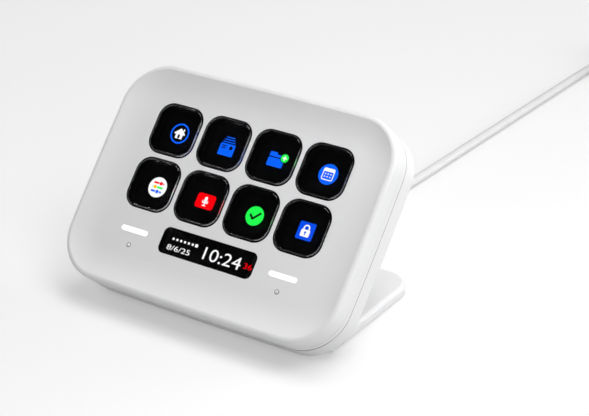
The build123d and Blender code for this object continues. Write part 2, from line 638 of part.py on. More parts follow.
def corner_waste(end):
    """What is cut away to round the two corners of a plate whose end lies at y = end."""
    block = Pos(0, end - STAND_CORNER / 2) * Rectangle(STAND_WIDTH, STAND_CORNER)
    return block - rounded(STAND_WIDTH, 4 * STAND_CORNER, STAND_CORNER, (0, end - 2 * STAND_CORNER))


def inner_outline(body):
    """Edges round the stand's inner side, where foot, crotch and leaf run into one smooth surface."""
    crotch = body.faces().filter_by(GeomType.CYLINDER).sort_by(Axis.Y)[0]
    seams = crotch.edges().filter_by(GeomType.LINE)
    flats = [face for face in body.faces() if any(edge in face.edges() for edge in seams)]
    return [edge for face in flats for edge in face.edges() if edge not in seams]


def stand():
    """Leaf along the rear face and foot along the desk, one moulding with a V section."""
    foot_bottom, foot_top = PAD_THICKNESS, PAD_THICKNESS + FOOT_THICKNESS
    foot_end = REAR_EDGE_Y + FOOT_REACH
    start = foot_end - FOOT_LENGTH
    leaf_end = LEAF_LENGTH - CASE_HEIGHT / 2
    outer_edge = desk_point(-CASE_HEIGHT / 2, LEAF_LEVEL)
    crotch = outer_edge[0] + (foot_top - outer_edge[1]) * COS / SIN
    corners = [
        (start, foot_bottom),
        (foot_end, foot_bottom),
        (foot_end, foot_top),
        (crotch, foot_top),
        desk_point(leaf_end, LEAF_LEVEL),
        desk_point(leaf_end, REAR_LEVEL),
        (start, CASE_LIFT + STAND_TIP_CUT * SIN / COS),
    ]
    section = make_face(Polyline(*corners, close=True))
    inner = section.vertices().sort_by_distance((crotch, foot_top))[0]
    section = fillet(inner, STAND_CROTCH_ROUND)
    body = extrude(Plane.YZ * section, amount=STAND_WIDTH / 2, both=True)
    body -= extrude(corner_waste(foot_end), amount=foot_top)
    body -= FACE * prism(corner_waste(leaf_end), LEAF_LEVEL, REAR_LEVEL)
    body = fillet(inner_outline(body), STAND_EDGE_ROUND)
    body -= extrude(ballast_outline(BALLAST_CLEARANCE), amount=BALLAST_THICKNESS + PAD_THICKNESS)
    for place in STAND_SCREWS:
        cone = STAND_SCREW_HEAD_RADIUS - SCREW_RADIUS
        hole = post(place, SCREW_RADIUS + SCREW_CLEARANCE, LEAF_LEVEL, REAR_LEVEL)
        head = Cone(STAND_SCREW_HEAD_RADIUS + SCREW_CLEARANCE, SCREW_RADIUS + SCREW_CLEARANCE, cone)
        body -= FACE * (hole + Pos(*place, LEAF_LEVEL + cone / 2) * head)
    return body


def foot_middle():
    """Y of the middle of the foot's flat underside."""
    return REAR_EDGE_Y + FOOT_REACH - FOOT_LENGTH / 2


def ballast_outline(margin=0.0):
    width = STAND_WIDTH - 2 * (BALLAST_SIDE_INSET - margin)
    depth = FOOT_LENGTH - 2 * (BALLAST_END_INSET - margin)
    return rounded(width, depth, BALLAST_CORNER + margin, (0, foot_middle()))


def ballast_plate():
    return extrude(Pos(0, 0, PAD_THICKNESS) * ballast_outline(), amount=BALLAST_THICKNESS)


def foot_pad():
    width, depth = STAND_WIDTH - 2 * PAD_SIDE_INSET, FOOT_LENGTH - 2 * PAD_END_INSET
    return extrude(rounded(width, depth, PAD_CORNER, (0, foot_middle())), amount=PAD_THICKNESS)


# --- Lead ---


def strain_relief():
    """Ribbed tapering relief, held by a flange inside the shell and a collar outside it."""
    inside = BACK_INSIDE + RELIEF_FLANGE_THICKNESS
    collar = REAR_LEVEL - RELIEF_COLLAR_THICKNESS
    tip = REAR_LEVEL - RELIEF_LENGTH
    side = [
        (0, inside),
        (RELIEF_COLLAR_RADIUS, inside),
        (RELIEF_COLLAR_RADIUS, BACK_INSIDE),
        (RELIEF_ROOT_RADIUS, BACK_INSIDE),
        (RELIEF_ROOT_RADIUS, REAR_LEVEL),
        (RELIEF_COLLAR_RADIUS, REAR_LEVEL),
        (RELIEF_COLLAR_RADIUS, collar),
        (RELIEF_ROOT_RADIUS, collar),
        (RELIEF_TIP_RADIUS, tip),
        (0, tip),
    ]
    body = revolve(Plane.XZ * make_face(Polyline(*side, close=True)), Axis.Z)
    slope = (RELIEF_ROOT_RADIUS - RELIEF_TIP_RADIUS) / (collar - tip)
    for groove in range(RELIEF_GROOVES):
        drop = RELIEF_GROOVE_START + groove * RELIEF_GROOVE_STEP
        bottom = RELIEF_ROOT_RADIUS - slope * drop - RELIEF_GROOVE_DEPTH
        ring = Circle(RELIEF_COLLAR_RADIUS) - Circle(bottom)
        body -= prism(ring, collar - drop - RELIEF_GROOVE_WIDTH, collar - drop)
    return Pos(*EXIT_POINT) * body


def lead_points():
    """Corners of the lead's route: straight out of the relief, down to the desk and back to the coil."""
    x = EXIT_POINT[0]
    y, z = desk_point(EXIT_POINT[1], REAR_LEVEL - RELIEF_LENGTH)
    lying = CABLE_DIAMETER / 2
    touch_down = Vector(x, y + (z - lying) * SIN / COS, lying)
    return [Vector(x, y, z), touch_down] + [Vector(*place, lying) for place in LEAD_ROUTE]


def coil_centre():
    last = lead_points()[-1]
    return Vector(last.X + OUTER_TURN_RADIUS, last.Y, 0)


def usb_cable():
    points = lead_points()
    radii = []
    for before, corner, after in zip(points, points[1:], points[2:]):
        turn = (corner - before).get_angle(after - corner)
        shorter = min((corner - before).length, (after - corner).length)
        radii.append(LEAD_ARC_SHARE * shorter / tan(radians(turn / 2)))
    print("lead radii", [round(radius, 1) for radius in radii])
    path = FilletPolyline(*points, radius=radii)
    section = Plane(origin=path @ 0, z_dir=path % 0) * Circle(CABLE_DIAMETER / 2)
    tube = sweep(section, path=path)
    ratio = tube.volume / (path.length * section.area)
    print("lead length", round(path.length, 1), "volume over section times length", round(ratio, 4))
    return tube


def cable_coil():
    half_width = COIL_TURNS_WIDE * CABLE_DIAMETER / 2
    ring = Circle(COIL_MID_RADIUS + half_width) - Circle(COIL_MID_RADIUS - half_width)
    return Location(coil_centre()) * extrude(ring, amount=COIL_TURNS_HIGH * CABLE_DIAMETER)


def plug_back():
    """Where the tail meets the plug: beside the coil, back towards the keypad."""
    return coil_centre() + Vector(OUTER_TURN_RADIUS, -TAIL_LENGTH, PLUG_THICKNESS / 2)


def cable_tail():
    end = plug_back()
    start = Vector(end.X, end.Y + TAIL_LENGTH, CABLE_DIAMETER / 2)
    along = Plane(origin=start, z_dir=end - start)
    return extrude(along * Circle(CABLE_DIAMETER / 2), amount=(end - start).length)


def plug_frame():
    """Plug lying flat: z runs along it, from its neck to its tip."""
    return Plane(origin=plug_back(), x_dir=(1, 0, 0), z_dir=(0, -1, 0))


def usb_plug_body():
    neck = extrude(plug_frame() * Circle(PLUG_NECK_RADIUS), amount=PLUG_NECK_LENGTH)
    start = plug_frame().offset(PLUG_NECK_LENGTH)
    body = extrude(start * RectangleRounded(PLUG_WIDTH, PLUG_THICKNESS, PLUG_CORNER), amount=PLUG_LENGTH)
    ends = body.edges().group_by(Axis.Y)
    body = fillet(ends[-1] + ends[0], PLUG_EDGE_ROUND)
    return neck + body


def usb_plug_shell():
    start = plug_frame().offset(PLUG_NECK_LENGTH + PLUG_LENGTH)
    outside = RectangleRounded(PLUG_TIP_WIDTH, PLUG_TIP_THICKNESS, PLUG_TIP_CORNER)
    width, thickness = PLUG_TIP_WIDTH - 2 * PLUG_TIP_WALL, PLUG_TIP_THICKNESS - 2 * PLUG_TIP_WALL
    inside = RectangleRounded(width, thickness, PLUG_TIP_CORNER - PLUG_TIP_WALL)
    shell = extrude(start * outside, amount=PLUG_TIP_LENGTH)
    return shell - extrude(start.offset(PLUG_TIP_WALL) * inside, amount=PLUG_TIP_LENGTH)


def pieces():
    made = {
        "front_shell": on_face(front_shell()),
        "rear_shell": on_face(rear_shell()),
        "dome_mat": on_face(dome_mat()),
        "lcd_panel": on_face(lcd_panel()),
        "lcd_tray": on_face(lcd_tray()),
        "info_window": on_face(info_window()),
        "info_display": on_face(info_display()),
        "lcd_flex": on_face(lcd_flex()),
        "info_flex": on_face(info_flex()),
        "main_board": on_face(main_board()),
        "board_components": on_face(*board_components()),
        "case_screws": on_face(*case_screws()),
        "tray_screws": on_face(*tray_screws()),
        "board_screws": on_face(*board_screws()),
        "stand_screws": on_face(*stand_screws()),
        "stand": [stand()],
        "ballast_plate": [ballast_plate()],
        "foot_pad": [foot_pad()],
        "strain_relief": on_face(strain_relief()),
        "usb_cable": [usb_cable()],
        "cable_coil": [cable_coil()],
        "cable_tail": [cable_tail()],
        "usb_plug_body": [usb_plug_body()],
        "usb_plug_shell": [usb_plug_shell()],
    }
    for number, place in enumerate(KEY_CENTRES, start=1):
        made[f"key_cap_{number}"] = on_face(key_cap(place))
    for side, place in BAR_CENTRES.items():
        made[f"light_bar_{side}"] = on_face(light_bar(place))
        made[f"touch_pad_{side}"] = on_face(touch_pad(place[0]))
    return made


os.makedirs("parts", exist_ok=True)
for name, solids in pieces().items():
    flat = [solid for shape in solids for solid in shape.solids()]
    export_step(flat[0] if len(flat) == 1 else Compound(children=flat), f"parts/{name}.step")
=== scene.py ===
import json
from math import cos, pi, radians, sin

import bmesh
import bpy
from bpy.props import FloatProperty, FloatVectorProperty, IntProperty, PointerProperty
from mathutils import Matrix, Vector


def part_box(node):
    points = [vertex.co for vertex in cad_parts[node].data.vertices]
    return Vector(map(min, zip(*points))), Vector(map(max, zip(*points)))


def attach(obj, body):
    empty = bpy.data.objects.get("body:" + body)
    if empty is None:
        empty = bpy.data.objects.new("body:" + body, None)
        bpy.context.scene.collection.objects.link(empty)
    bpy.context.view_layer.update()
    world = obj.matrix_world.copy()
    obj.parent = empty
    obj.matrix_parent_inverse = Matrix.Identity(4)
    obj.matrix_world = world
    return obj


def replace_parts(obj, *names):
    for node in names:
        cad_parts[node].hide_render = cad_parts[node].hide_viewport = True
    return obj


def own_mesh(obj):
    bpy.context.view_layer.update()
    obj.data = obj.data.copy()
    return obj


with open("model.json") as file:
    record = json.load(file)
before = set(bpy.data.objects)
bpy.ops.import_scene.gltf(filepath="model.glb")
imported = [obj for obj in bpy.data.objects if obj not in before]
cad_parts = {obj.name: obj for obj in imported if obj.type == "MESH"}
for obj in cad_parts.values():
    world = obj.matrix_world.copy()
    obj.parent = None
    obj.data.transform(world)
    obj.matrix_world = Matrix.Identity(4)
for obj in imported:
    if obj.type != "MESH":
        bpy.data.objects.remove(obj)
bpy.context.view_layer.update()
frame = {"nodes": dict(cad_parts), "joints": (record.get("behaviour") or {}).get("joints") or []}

bl_info = {
    "name": "Desk keypad with clear keys",
    "version": (1, 0, 0),
    "blender": (4, 5, 0),
    "location": "3D View > Sidebar > Keypad",
    "description": "Dresses a desk keypad: clear keys, lit pictures, shells, stand and lead",
    "category": "Object",
}

MM = 0.001
SLACK = MM / 100  # for heights that are read from the frame's meshes

# --- The face's own directions: across it, up it and out of it ---
OUT = -Vector(frame["joints"][0]["axis"]).normalized()
ACROSS = Vector((1.0, 0.0, 0.0))
UP_FACE = OUT.cross(ACROSS)


def face_span(node):
    """Lowest and highest corner of a CAD node along the face's directions."""
    vertices = frame["nodes"][node].data.vertices
    rows = [(vert.co.x, vert.co.dot(UP_FACE), vert.co.dot(OUT)) for vert in vertices]
    return Vector(map(min, zip(*rows))), Vector(map(max, zip(*rows)))


def span_middle(node):
    low, high = face_span(node)
    return (low + high) / 2


FLOOR_LEVEL = face_span("info_window")[1].z
FACE_RISE = span_middle("front_shell").y
FACE_ORIGIN = UP_FACE * FACE_RISE + OUT * FLOOR_LEVEL
FACE = Matrix.Translation(FACE_ORIGIN) @ Matrix((ACROSS, UP_FACE, OUT)).transposed().to_4x4()
LCD_LEVEL = face_span("lcd_panel")[1].z - FLOOR_LEVEL
INFO_LEVEL = face_span("info_display")[1].z - FLOOR_LEVEL
KEY_COUNT = 8


def node_place(node):
    """Middle of a CAD node on the face, (across, up)."""
    middle = span_middle(node)
    return middle.x, middle.y - FACE_RISE


def key_place(number):
    return node_place(f"key_cap_{number}")


# --- Settings ---


def number_property(name, description, default, low=0.0, **more):
    return FloatProperty(name=name, description=description, default=default, min=low, **more)


def length_property(name, description, default):
    return number_property(name, description, default, unit="LENGTH", subtype="DISTANCE")


def power_property(name, default):
    return number_property(name, "Power of this softbox", default, unit="POWER")


def angle_property(name, description, degrees):
    return number_property(name, description, radians(degrees), low=-pi, subtype="ANGLE")


def colour_property(name, description, default):
    return FloatVectorProperty(
        name=name, description=description, default=default, subtype="COLOR", min=0.0, max=1.0
    )


def count_property(name, description, default, low):
    return IntProperty(name=name, description=description, default=default, min=low)


class StageSettings(bpy.types.PropertyGroup):
    """Camera, lamps, floor and sky."""

    azimuth: angle_property("Azimuth", "Turn of the camera round the keypad", 33.7698)
    elevation: angle_property("Elevation", "How far the camera looks down", 26.2121)
    roll: angle_property("Roll", "Turn of the camera about its own line", -0.3378)
    camera_place: FloatVectorProperty(
        name="Camera place", description="Where the camera stands",
        default=(0.30172, -0.42063, 0.28668), subtype="XYZ", unit="LENGTH",
    )
    lens: number_property(
        "Lens", "Focal length in millimetres on a 36 mm sensor", 107.66, unit="CAMERA"
    )
    floor_colour: colour_property("Floor", "Colour of the studio floor", (0.55, 0.55, 0.55))
    floor_lift: number_property("Floor lift", "How much the floor is lit for the camera", 0.45)
    contact_shade: number_property(
        "Contact shade", "Share of the lift that is lost where the keypad stands", 0.22, max=1.0
    )
    contact_reach: length_property("Contact reach", "How far the shade at a contact spreads", 0.012)
    sky_fill: number_property("Sky fill", "Soft light from all round", 0.03)
    overhead_power: power_property("Overhead", 3.9)
    near_power: power_property("Near", 0.66)
    back_power: power_property("Back", 1.7)
    back_right_power: power_property("Back right", 5.2)
    front_right_power: power_property("Front right", 2.2)
    right_low_power: power_property("Right low", 1.5)
    front_low_power: power_property("Front low", 1.8)
    left_power: power_property("Left", 2.7)
    glint_power: power_property("Glint", 0.4)


class CaseSettings(bpy.types.PropertyGroup):
    """White mouldings of the case and stand."""

    colour: colour_property("White", "Colour of the moulded shells", (0.86, 0.86, 0.865))
    roughness: number_property("Roughness", "How matt the shells are", 0.42, max=1.0)
    grain: number_property("Grain", "Grains of the moulded texture per metre", 5200.0, low=1.0)
    joint: length_property("Joint", "Width of the joint between the shells", 0.00021)
    # Painted shade: along the lower edge the darkened band is wider than the joint itself.
    joint_shade_below: length_property("Joint below", "Width of the painted shade in that joint along the lower edge", 0.0006)
    # Colour of the painted shade in the joint and round the touch dots.
    painted_shade_colour: colour_property("Joint colour", "Painted shade in the joint and round the touch dots", (0.1, 0.1, 0.1))
    dot_size: length_property("Dot", "Diameter of a touch dot", 0.0012)
    # Painted shade: width of the dark ring round each touch dot.
    dot_shade_width: length_property("Dot gap", "Width of the painted shade ring round a touch dot", 0.00022)


class KeySettings(bpy.types.PropertyGroup):
    """Clear keys and the pictures below them."""

    flange_width: length_property("Flange", "Width of the flange round a key", 0.0007)
    flange_height: length_property("Flange height", "Height of the flange", 0.00065)
    corner: length_property("Corner", "Corner radius of a key", 0.0049)
    edge_round: length_property("Edge round", "Round along a key's upper edge", 0.0009)
    masked_below: length_property(
        "Masked below", "How far below a key's top its black print begins", 0.00032
    )
    corner_steps: count_property("Corner steps", "Faces round a corner", 20, 2)
    edge_steps: count_property("Edge steps", "Faces over the edge round", 12, 2)
    mat_thickness: length_property("Mat", "Thickness of the switch mat's sheet", 0.0004)
    collar_keep: number_property(
        "Collar keep", "Share of a collar's height that is left below a pressed key", 0.02,
        low=0.001, max=1.0,
    )
    glow: number_property("Glow", "Brightness of the pictures", 1.1)
    bar_glow: number_property("Bar glow", "Brightness of the two light bars", 1.15)


class LeadSettings(bpy.types.PropertyGroup):
    """The lead on the desk."""

    diameter: length_property("Diameter", "Diameter of the lead", 0.0035)
    length: length_property("Length", "Real length of the lead", 1.35)
    turn_points: count_property("Points", "Control points in each turn", 16, 12)
    colour: colour_property("Sleeve", "Colour of the lead's sleeve", (0.80, 0.80, 0.80))


SETTINGS = {
    "keypad_stage": StageSettings,
    "keypad_case": CaseSettings,
    "keypad_keys": KeySettings,
    "keypad_lead": LeadSettings,
}

# --- Mesh helpers ---
SHARP_ANGLE = radians(30.0)


def new_object(name, data):
    made = bpy.data.objects.new(name, data)
    bpy.context.scene.collection.objects.link(made)
    return made


def new_piece(name, data, body):
    piece = new_object(name, data)
    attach(piece, body)
    return piece


def mesh_piece(bm, name, body, materials, weighted=False):
    """Makes a finished piece from a bmesh, with its faces pointing outwards."""
    bmesh.ops.recalc_face_normals(bm, faces=bm.faces)
    for face in bm.faces:
        face.smooth = True
    mesh = bpy.data.meshes.new(name)
    bm.to_mesh(mesh)
    bm.free()
    mesh.set_sharp_from_angle(angle=SHARP_ANGLE)
    for material in materials:
        mesh.materials.append(material)
    piece = new_piece(name, mesh, body)
    if weighted:
        modifier = piece.modifiers.new("Flat faces stay flat", "WEIGHTED_NORMAL")
        modifier.keep_sharp = True
        modifier.weight = 100
    return piece


def paint_node(node, material):
    """Gives a CAD node a finished material."""
    mesh = frame["nodes"][node].data
    mesh.materials.clear()
    mesh.materials.append(material)


# --- Shader helpers ---
# Depths of surface relief.
MOULD_RELIEF, SOFT_RELIEF, PAD_RELIEF = 0.006 * MM, 0.008 * MM, 0.03 * MM
POLISH_RELIEF, BRUSH_RELIEF = 0.0004 * MM, 0.002 * MM
# Fineness of surface patterns, in features per metre.
CLOUDS, PATCHES, SMEARS, WAVES, STREAKS = 35.0, 260.0, 420.0, 90.0, 3200.0
ACRYLIC_IOR = 1.49
SOCKET_KINDS = {"Vector": "Vector", "Colour": "Color"}


def new_group(name, inputs, outputs):
    """Node group fed by a vector and by named inputs with their values."""
    group = bpy.data.node_groups.new(name, "ShaderNodeTree")
    for way, labels in (("INPUT", ("Vector", *inputs)), ("OUTPUT", outputs)):
        for label in labels:
            kind = f"NodeSocket{SOCKET_KINDS.get(label, 'Float')}"
            socket = group.interface.new_socket(label, in_out=way, socket_type=kind)
            if way == "INPUT" and label in inputs:
                socket.default_value = inputs[label]
    return group, group.nodes.new("NodeGroupInput"), group.nodes.new("NodeGroupOutput")


def link(tree, source, target):
    tree.links.new(source, target)


def feed(tree, value, socket):
    """Sets a socket to a number, or links another socket to it."""
    if isinstance(value, (int, float)):
        socket.default_value = value
    else:
        link(tree, value, socket)


def noise(tree, vector, scale, detail=2.0, rough=0.5):
    """Noise whose scale is a number or a socket."""
    node = tree.nodes.new("ShaderNodeTexNoise")
    link(tree, vector, node.inputs["Vector"])
    feed(tree, scale, node.inputs["Scale"])
    node.inputs["Detail"].default_value = detail
    node.inputs["Roughness"].default_value = rough
    return node.outputs["Fac"]


def maths(tree, operation, first, second=0.0):
    """Result of one Math node, fed by numbers or sockets."""
    node = tree.nodes.new("ShaderNodeMath")
    node.operation = operation
    for socket, value in zip(node.inputs, (first, second)):
        feed(tree, value, socket)
    return node.outputs[0]


def ranged(tree, value, before, after, smooth=True):
    """Value taken from one pair of limits to another, and held at the ends."""
    node = tree.nodes.new("ShaderNodeMapRange")
    node.interpolation_type = "SMOOTHSTEP" if smooth else "LINEAR"
    labels = ("From Min", "From Max", "To Min", "To Max")
    for label, limit in zip(labels, (*before, *after)):
        node.inputs[label].default_value = limit
    link(tree, value, node.inputs["Value"])
    return node.outputs[0]


def spread(tree, value, middle, share):
    """A value from 0 to 1 turned into middle plus or minus half the share."""
    offset = maths(tree, "SUBTRACT", value, 0.5)
    wide = maths(tree, "MULTIPLY", offset, share)
    return maths(tree, "ADD", wide, middle)


def parts_of(tree, vector):
    node = tree.nodes.new("ShaderNodeSeparateXYZ")
    link(tree, vector, node.inputs[0])
    return node.outputs


def scaled(tree, value, factor):
    """Colour or vector times a factor."""
    node = tree.nodes.new("ShaderNodeVectorMath")
    node.operation = "SCALE"
    link(tree, value, node.inputs[0])
    link(tree, factor, node.inputs["Scale"])
    return node.outputs[0]


def moulded_group():
    """Fine spark-eroded grain with faint clouding, for moulded plastic and rubber."""
    group, inside, outside = new_group(
        "moulded_surface",
        {
            "Colour": (0.8, 0.8, 0.8, 1.0), "Clouding": 0.03, "Grain": 5000.0,
            "Roughness": 0.4, "Roughness spread": 0.1,
        },
        ("Colour", "Roughness", "Height"),
    )
    vector = inside.outputs["Vector"]
    cloud = spread(group, noise(group, vector, CLOUDS, 3.0), 1.0, inside.outputs["Clouding"])
    link(group, scaled(group, inside.outputs["Colour"], cloud), outside.inputs["Colour"])
    grain = noise(group, vector, inside.outputs["Grain"])
    link(group, grain, outside.inputs["Height"])
    patch = noise(group, vector, PATCHES, 4.0, 0.6)
    rough = spread(group, patch, inside.outputs["Roughness"], inside.outputs["Roughness spread"])
    link(group, rough, outside.inputs["Roughness"])
    return group


def polished_group():
    """Faint fingertip haze on a polished face."""
    group, inside, outside = new_group(
        "polished_surface", {"Roughness": 0.02, "Haze": 0.04}, ("Roughness", "Height")
    )
    vector = inside.outputs["Vector"]
    smear = maths(group, "POWER", noise(group, vector, SMEARS, 4.0, 0.65), 4.0)
    hazed = maths(group, "MULTIPLY", smear, inside.outputs["Haze"])
    rough = maths(group, "ADD", hazed, inside.outputs["Roughness"])
    link(group, rough, outside.inputs["Roughness"])
    link(group, noise(group, vector, WAVES, 1.0), outside.inputs["Height"])
    return group


def lit_pixels_group():
    """Grid of display pixels laid over a lit colour."""
    group, inside, outside = new_group(
        "lit_pixels",
        {"Colour": (1.0, 1.0, 1.0, 1.0), "Pixels": 9000.0, "Depth": 0.12},
        ("Colour",),
    )
    grid = parts_of(group, scaled(group, inside.outputs["Vector"], inside.outputs["Pixels"]))
    rows, columns = maths(group, "SINE", grid["Z"]), maths(group, "SINE", grid["X"])
    weave = maths(group, "MULTIPLY", maths(group, "MULTIPLY", rows, columns), 0.5)
    factor = spread(group, maths(group, "ADD", weave, 0.5), 1.0, inside.outputs["Depth"])
    link(group, scaled(group, inside.outputs["Colour"], factor), outside.inputs["Colour"])
    return group


def brushed_group():
    """Drawn or rolled metal: long fine streaks."""
    group, inside, outside = new_group(
        "brushed_metal",
        {"Colour": (0.6, 0.6, 0.6, 1.0), "Streaks": 0.08, "Roughness": 0.3},
        ("Colour", "Roughness", "Height"),
    )
    stretched = group.nodes.new("ShaderNodeMapping")
    stretched.inputs["Scale"].default_value = (0.06, 1.0, 1.0)
    link(group, inside.outputs["Vector"], stretched.inputs["Vector"])
    streak = noise(group, stretched.outputs[0], STREAKS, 3.0, 0.6)
    streaked = spread(group, streak, 1.0, inside.outputs["Streaks"])
    rough = spread(group, streak, inside.outputs["Roughness"], 0.15)
    link(group, scaled(group, inside.outputs["Colour"], streaked), outside.inputs["Colour"])
    link(group, rough, outside.inputs["Roughness"])
    link(group, streak, outside.inputs["Height"])
    return group


GROUPS = {
    "moulded_surface": moulded_group,
    "polished_surface": polished_group,
    "lit_pixels": lit_pixels_group,
    "brushed_metal": brushed_group,
}


def place_group(tree, name, **values):
    """Puts a shared effect in a material with its own values, fed by the object's coordinates."""
    node = tree.nodes.new("ShaderNodeGroup")
    node.node_tree = bpy.data.node_groups.get(name) or GROUPS[name]()
    coordinates = tree.nodes.new("ShaderNodeTexCoord")
    link(tree, coordinates.outputs["Object"], node.inputs["Vector"])
    for label, value in values.items():
        node.inputs[label.replace("_", " ")].default_value = value
    return node


def new_material(name, **sockets):
    """Empty material with one Principled shader, whose plain numbers are set on its own sockets."""
    material = bpy.data.materials.new(name)
    material.use_nodes = True
    tree = material.node_tree
    shader = tree.nodes["Principled BSDF"]
    for label, value in sockets.items():
        shader.inputs[label.replace("_", " ")].default_value = value
    return material, tree, shader


def surfaced_material(name, group, relief, values, sockets):
    """Material whose colour, roughness and relief, in metres, come from a shared effect."""
    material, tree, shader = new_material(name, **sockets)
    surface = place_group(tree, group, **values)
    link(tree, surface.outputs["Roughness"], shader.inputs["Roughness"])
    if "Colour" in surface.outputs:
        link(tree, surface.outputs["Colour"], shader.inputs["Base Color"])
    bump = tree.nodes.new("ShaderNodeBump")
    bump.inputs["Distance"].default_value = relief
    link(tree, surface.outputs["Height"], bump.inputs["Height"])
    link(tree, bump.outputs["Normal"], shader.inputs["Normal"])
    return material


def moulded_material(name, colour, roughness, grain, relief=MOULD_RELIEF, clouding=0.02, **sockets):
    """Moulded plastic or rubber, whose grain is given in grains per metre."""
    values = {
        "Colour": (*colour, 1.0), "Clouding": clouding, "Grain": grain, "Roughness": roughness,
        "Roughness spread": 0.08,
    }
    return surfaced_material(name, "moulded_surface", relief, values, sockets)


def polished_material(name, colour, roughness, **sockets):
    """Polished plastic or glass."""
    values = {"Roughness": roughness, "Haze": 0.05}
    sockets["Base Color"] = (*colour, 1.0)
    return surfaced_material(name, "polished_surface", POLISH_RELIEF, values, sockets)


def metal_material(name, colour, roughness, streaks=0.1):
    """Drawn or rolled metal."""
    values = {"Colour": (*colour, 1.0), "Roughness": roughness, "Streaks": streaks}
    return surfaced_material(name, "brushed_metal", BRUSH_RELIEF, values, {"Metallic": 1.0})


def lit_material(name, colour, strength, depth=0.12):
    """Lit display colour with its pixel grid, whose gaps are darker by the depth."""
    material, tree, shader = new_material(
        name, Base_Color=(0.0, 0.0, 0.0, 1.0), Roughness=0.5, Emission_Strength=strength,
        Specular_IOR_Level=0.0,
    )
    pixels = place_group(tree, "lit_pixels", Colour=(*colour, 1.0), Depth=depth)
    link(tree, pixels.outputs["Colour"], shader.inputs["Emission Color"])
    return material


def lit_paints(name, glow):
    """One lit material for each paint, in the order of their names."""
    return [lit_material(f"{name}_{paint}", colour, glow) for paint, colour in PAINTS.items()]


def face_coordinates(tree):
    """Across, up and out on the keypad's face, in metres."""
    coordinates = tree.nodes.new("ShaderNodeTexCoord")
    turned = tree.nodes.new("ShaderNodeMapping")
    turned.vector_type = "TEXTURE"
    turned.inputs["Location"].default_value = FACE_ORIGIN
    turned.inputs["Rotation"].default_value = FACE.to_euler()
    link(tree, coordinates.outputs["Object"], turned.inputs["Vector"])
    return parts_of(tree, turned.outputs[0])


def within(tree, value, low, high):
    """1 where a value lies between two limits."""
    above = maths(tree, "GREATER_THAN", value, low)
    below = maths(tree, "LESS_THAN", value, high)
    return maths(tree, "MULTIPLY", above, below)


def within_box(tree, across, up, low, high):
    """1 inside an upright box on the face, given by its lowest and highest corner."""
    return maths(
        tree, "MULTIPLY", within(tree, across, low[0], high[0]), within(tree, up, low[1], high[1])
    )


def paint_where(tree, mask, base, paint):
    """Base colour with flat paint where the mask is 1."""
    mix = tree.nodes.new("ShaderNodeMix")
    mix.data_type = "RGBA"
    link(tree, mask, mix.inputs["Factor"])
    link(tree, base, mix.inputs["A"])
    mix.inputs["B"].default_value = (*paint, 1.0)
    return mix.outputs["Result"]


# --- Flat lit shapes, whose sizes are in millimetres ---
LAYER = 0.015 * MM  # each shape lies this much higher than the one before it
LAYER_GAP = 0.02 * MM  # lowest shape above the display's face
WAFER = 0.8 * LAYER  # each shape's own thickness
ROUND_SIDES = 64
PAINTS = {
    "white": (1.0, 1.0, 1.0),
    "black": (0.004, 0.004, 0.004),
    "blue": (0.003, 0.127, 1.0),
    "deep_blue": (0.003, 0.075, 0.80),
    "red": (1.0, 0.0, 0.003),
    "green": (0.017, 1.0, 0.08),
    "yellow": (1.0, 0.55, 0.0),
}
PICTURE_SCALE = 0.955  # size of each picture, as a share of what its list says
# Each shape is (kind, across, up, width, height, corner, turn in degrees, paint). The width and
# height of a ring are its outer and inner diameter.


def panel(across, up, width, height, corner, paint, turn=0):
    return "panel", across, up, width, height, corner, turn, paint


def disc(across, up, diameter, paint):
    return "disc", across, up, diameter, diameter, 0, 0, paint


HOME = [
    ("ring", 0, 0, 7.5, 6.3, 0, 0, "blue"),
    panel(0, -0.75, 2.9, 2.3, 0.15, "white"),
    panel(-0.95, 0.75, 3.1, 0.62, 0.2, "white", 41),
    panel(0.95, 0.75, 3.1, 0.62, 0.2, "white", -41),
    ("wedge", 0, 0.3, 2.9, 1.5, 0, 0, "white"),
    panel(1.35, 1.35, 0.5, 1.0, 0.05, "white"),
    panel(0, -1.05, 0.85, 1.45, 0.3, "black"),
]
CARDS = [
    *(panel(0, 1.68 + 0.84 * row, 5.2 - 0.85 * row, 0.32, 0.1, "blue") for row in range(3)),
    panel(0, -1.15, 6.1, 4.4, 0.45, "blue"),
    panel(-1.4, 0.15, 1.9, 0.4, 0.15, "black"),
    panel(-1.5, -0.65, 1.7, 0.4, 0.15, "black"),
    disc(1.55, -0.3, 1.4, "black"),
]
FOLDER = [
    panel(-2.1, 2.1, 2.9, 1.2, 0.35, "blue"),
    panel(-0.5, 1.5, 6.1, 0.9, 0.2, "blue"),
    panel(-0.5, -0.9, 6.2, 3.1, 0.35, "blue"),
    disc(2.6, 1.3, 3.5, "black"),
    disc(2.6, 1.3, 3.0, "green"),
    panel(2.6, 1.3, 1.7, 0.4, 0.1, "white"),
    panel(2.6, 1.3, 0.4, 1.7, 0.1, "white"),
]
CALENDAR = [
    disc(0, 0, 7.3, "blue"),
    panel(0, 0, 4.4, 4.3, 0.7, "white"),
    panel(0, -0.45, 3.7, 2.7, 0.3, "blue"),
    *(
        panel(1.05 * column, 0.08 - row, 0.42, 0.42, 0.08, "white")
        for row in range(2)
        for column in (-1, 0, 1)
    ),
]
SLIDERS = [
    disc(0, 0, 7.4, "white"),
    panel(0, 1.55, 4.4, 0.7, 0.3, "red"),
    disc(0.9, 1.55, 1.75, "white"),
    disc(0.9, 1.55, 1.3, "red"),
    panel(0, 0, 4.4, 0.7, 0.3, "green"),
    disc(-1.0, 0, 1.75, "white"),
    disc(-1.0, 0, 1.3, "yellow"),
    panel(0, -1.55, 4.4, 0.7, 0.3, "blue"),
    disc(0.5, -1.55, 1.75, "white"),
    disc(0.5, -1.55, 1.3, "blue"),
]
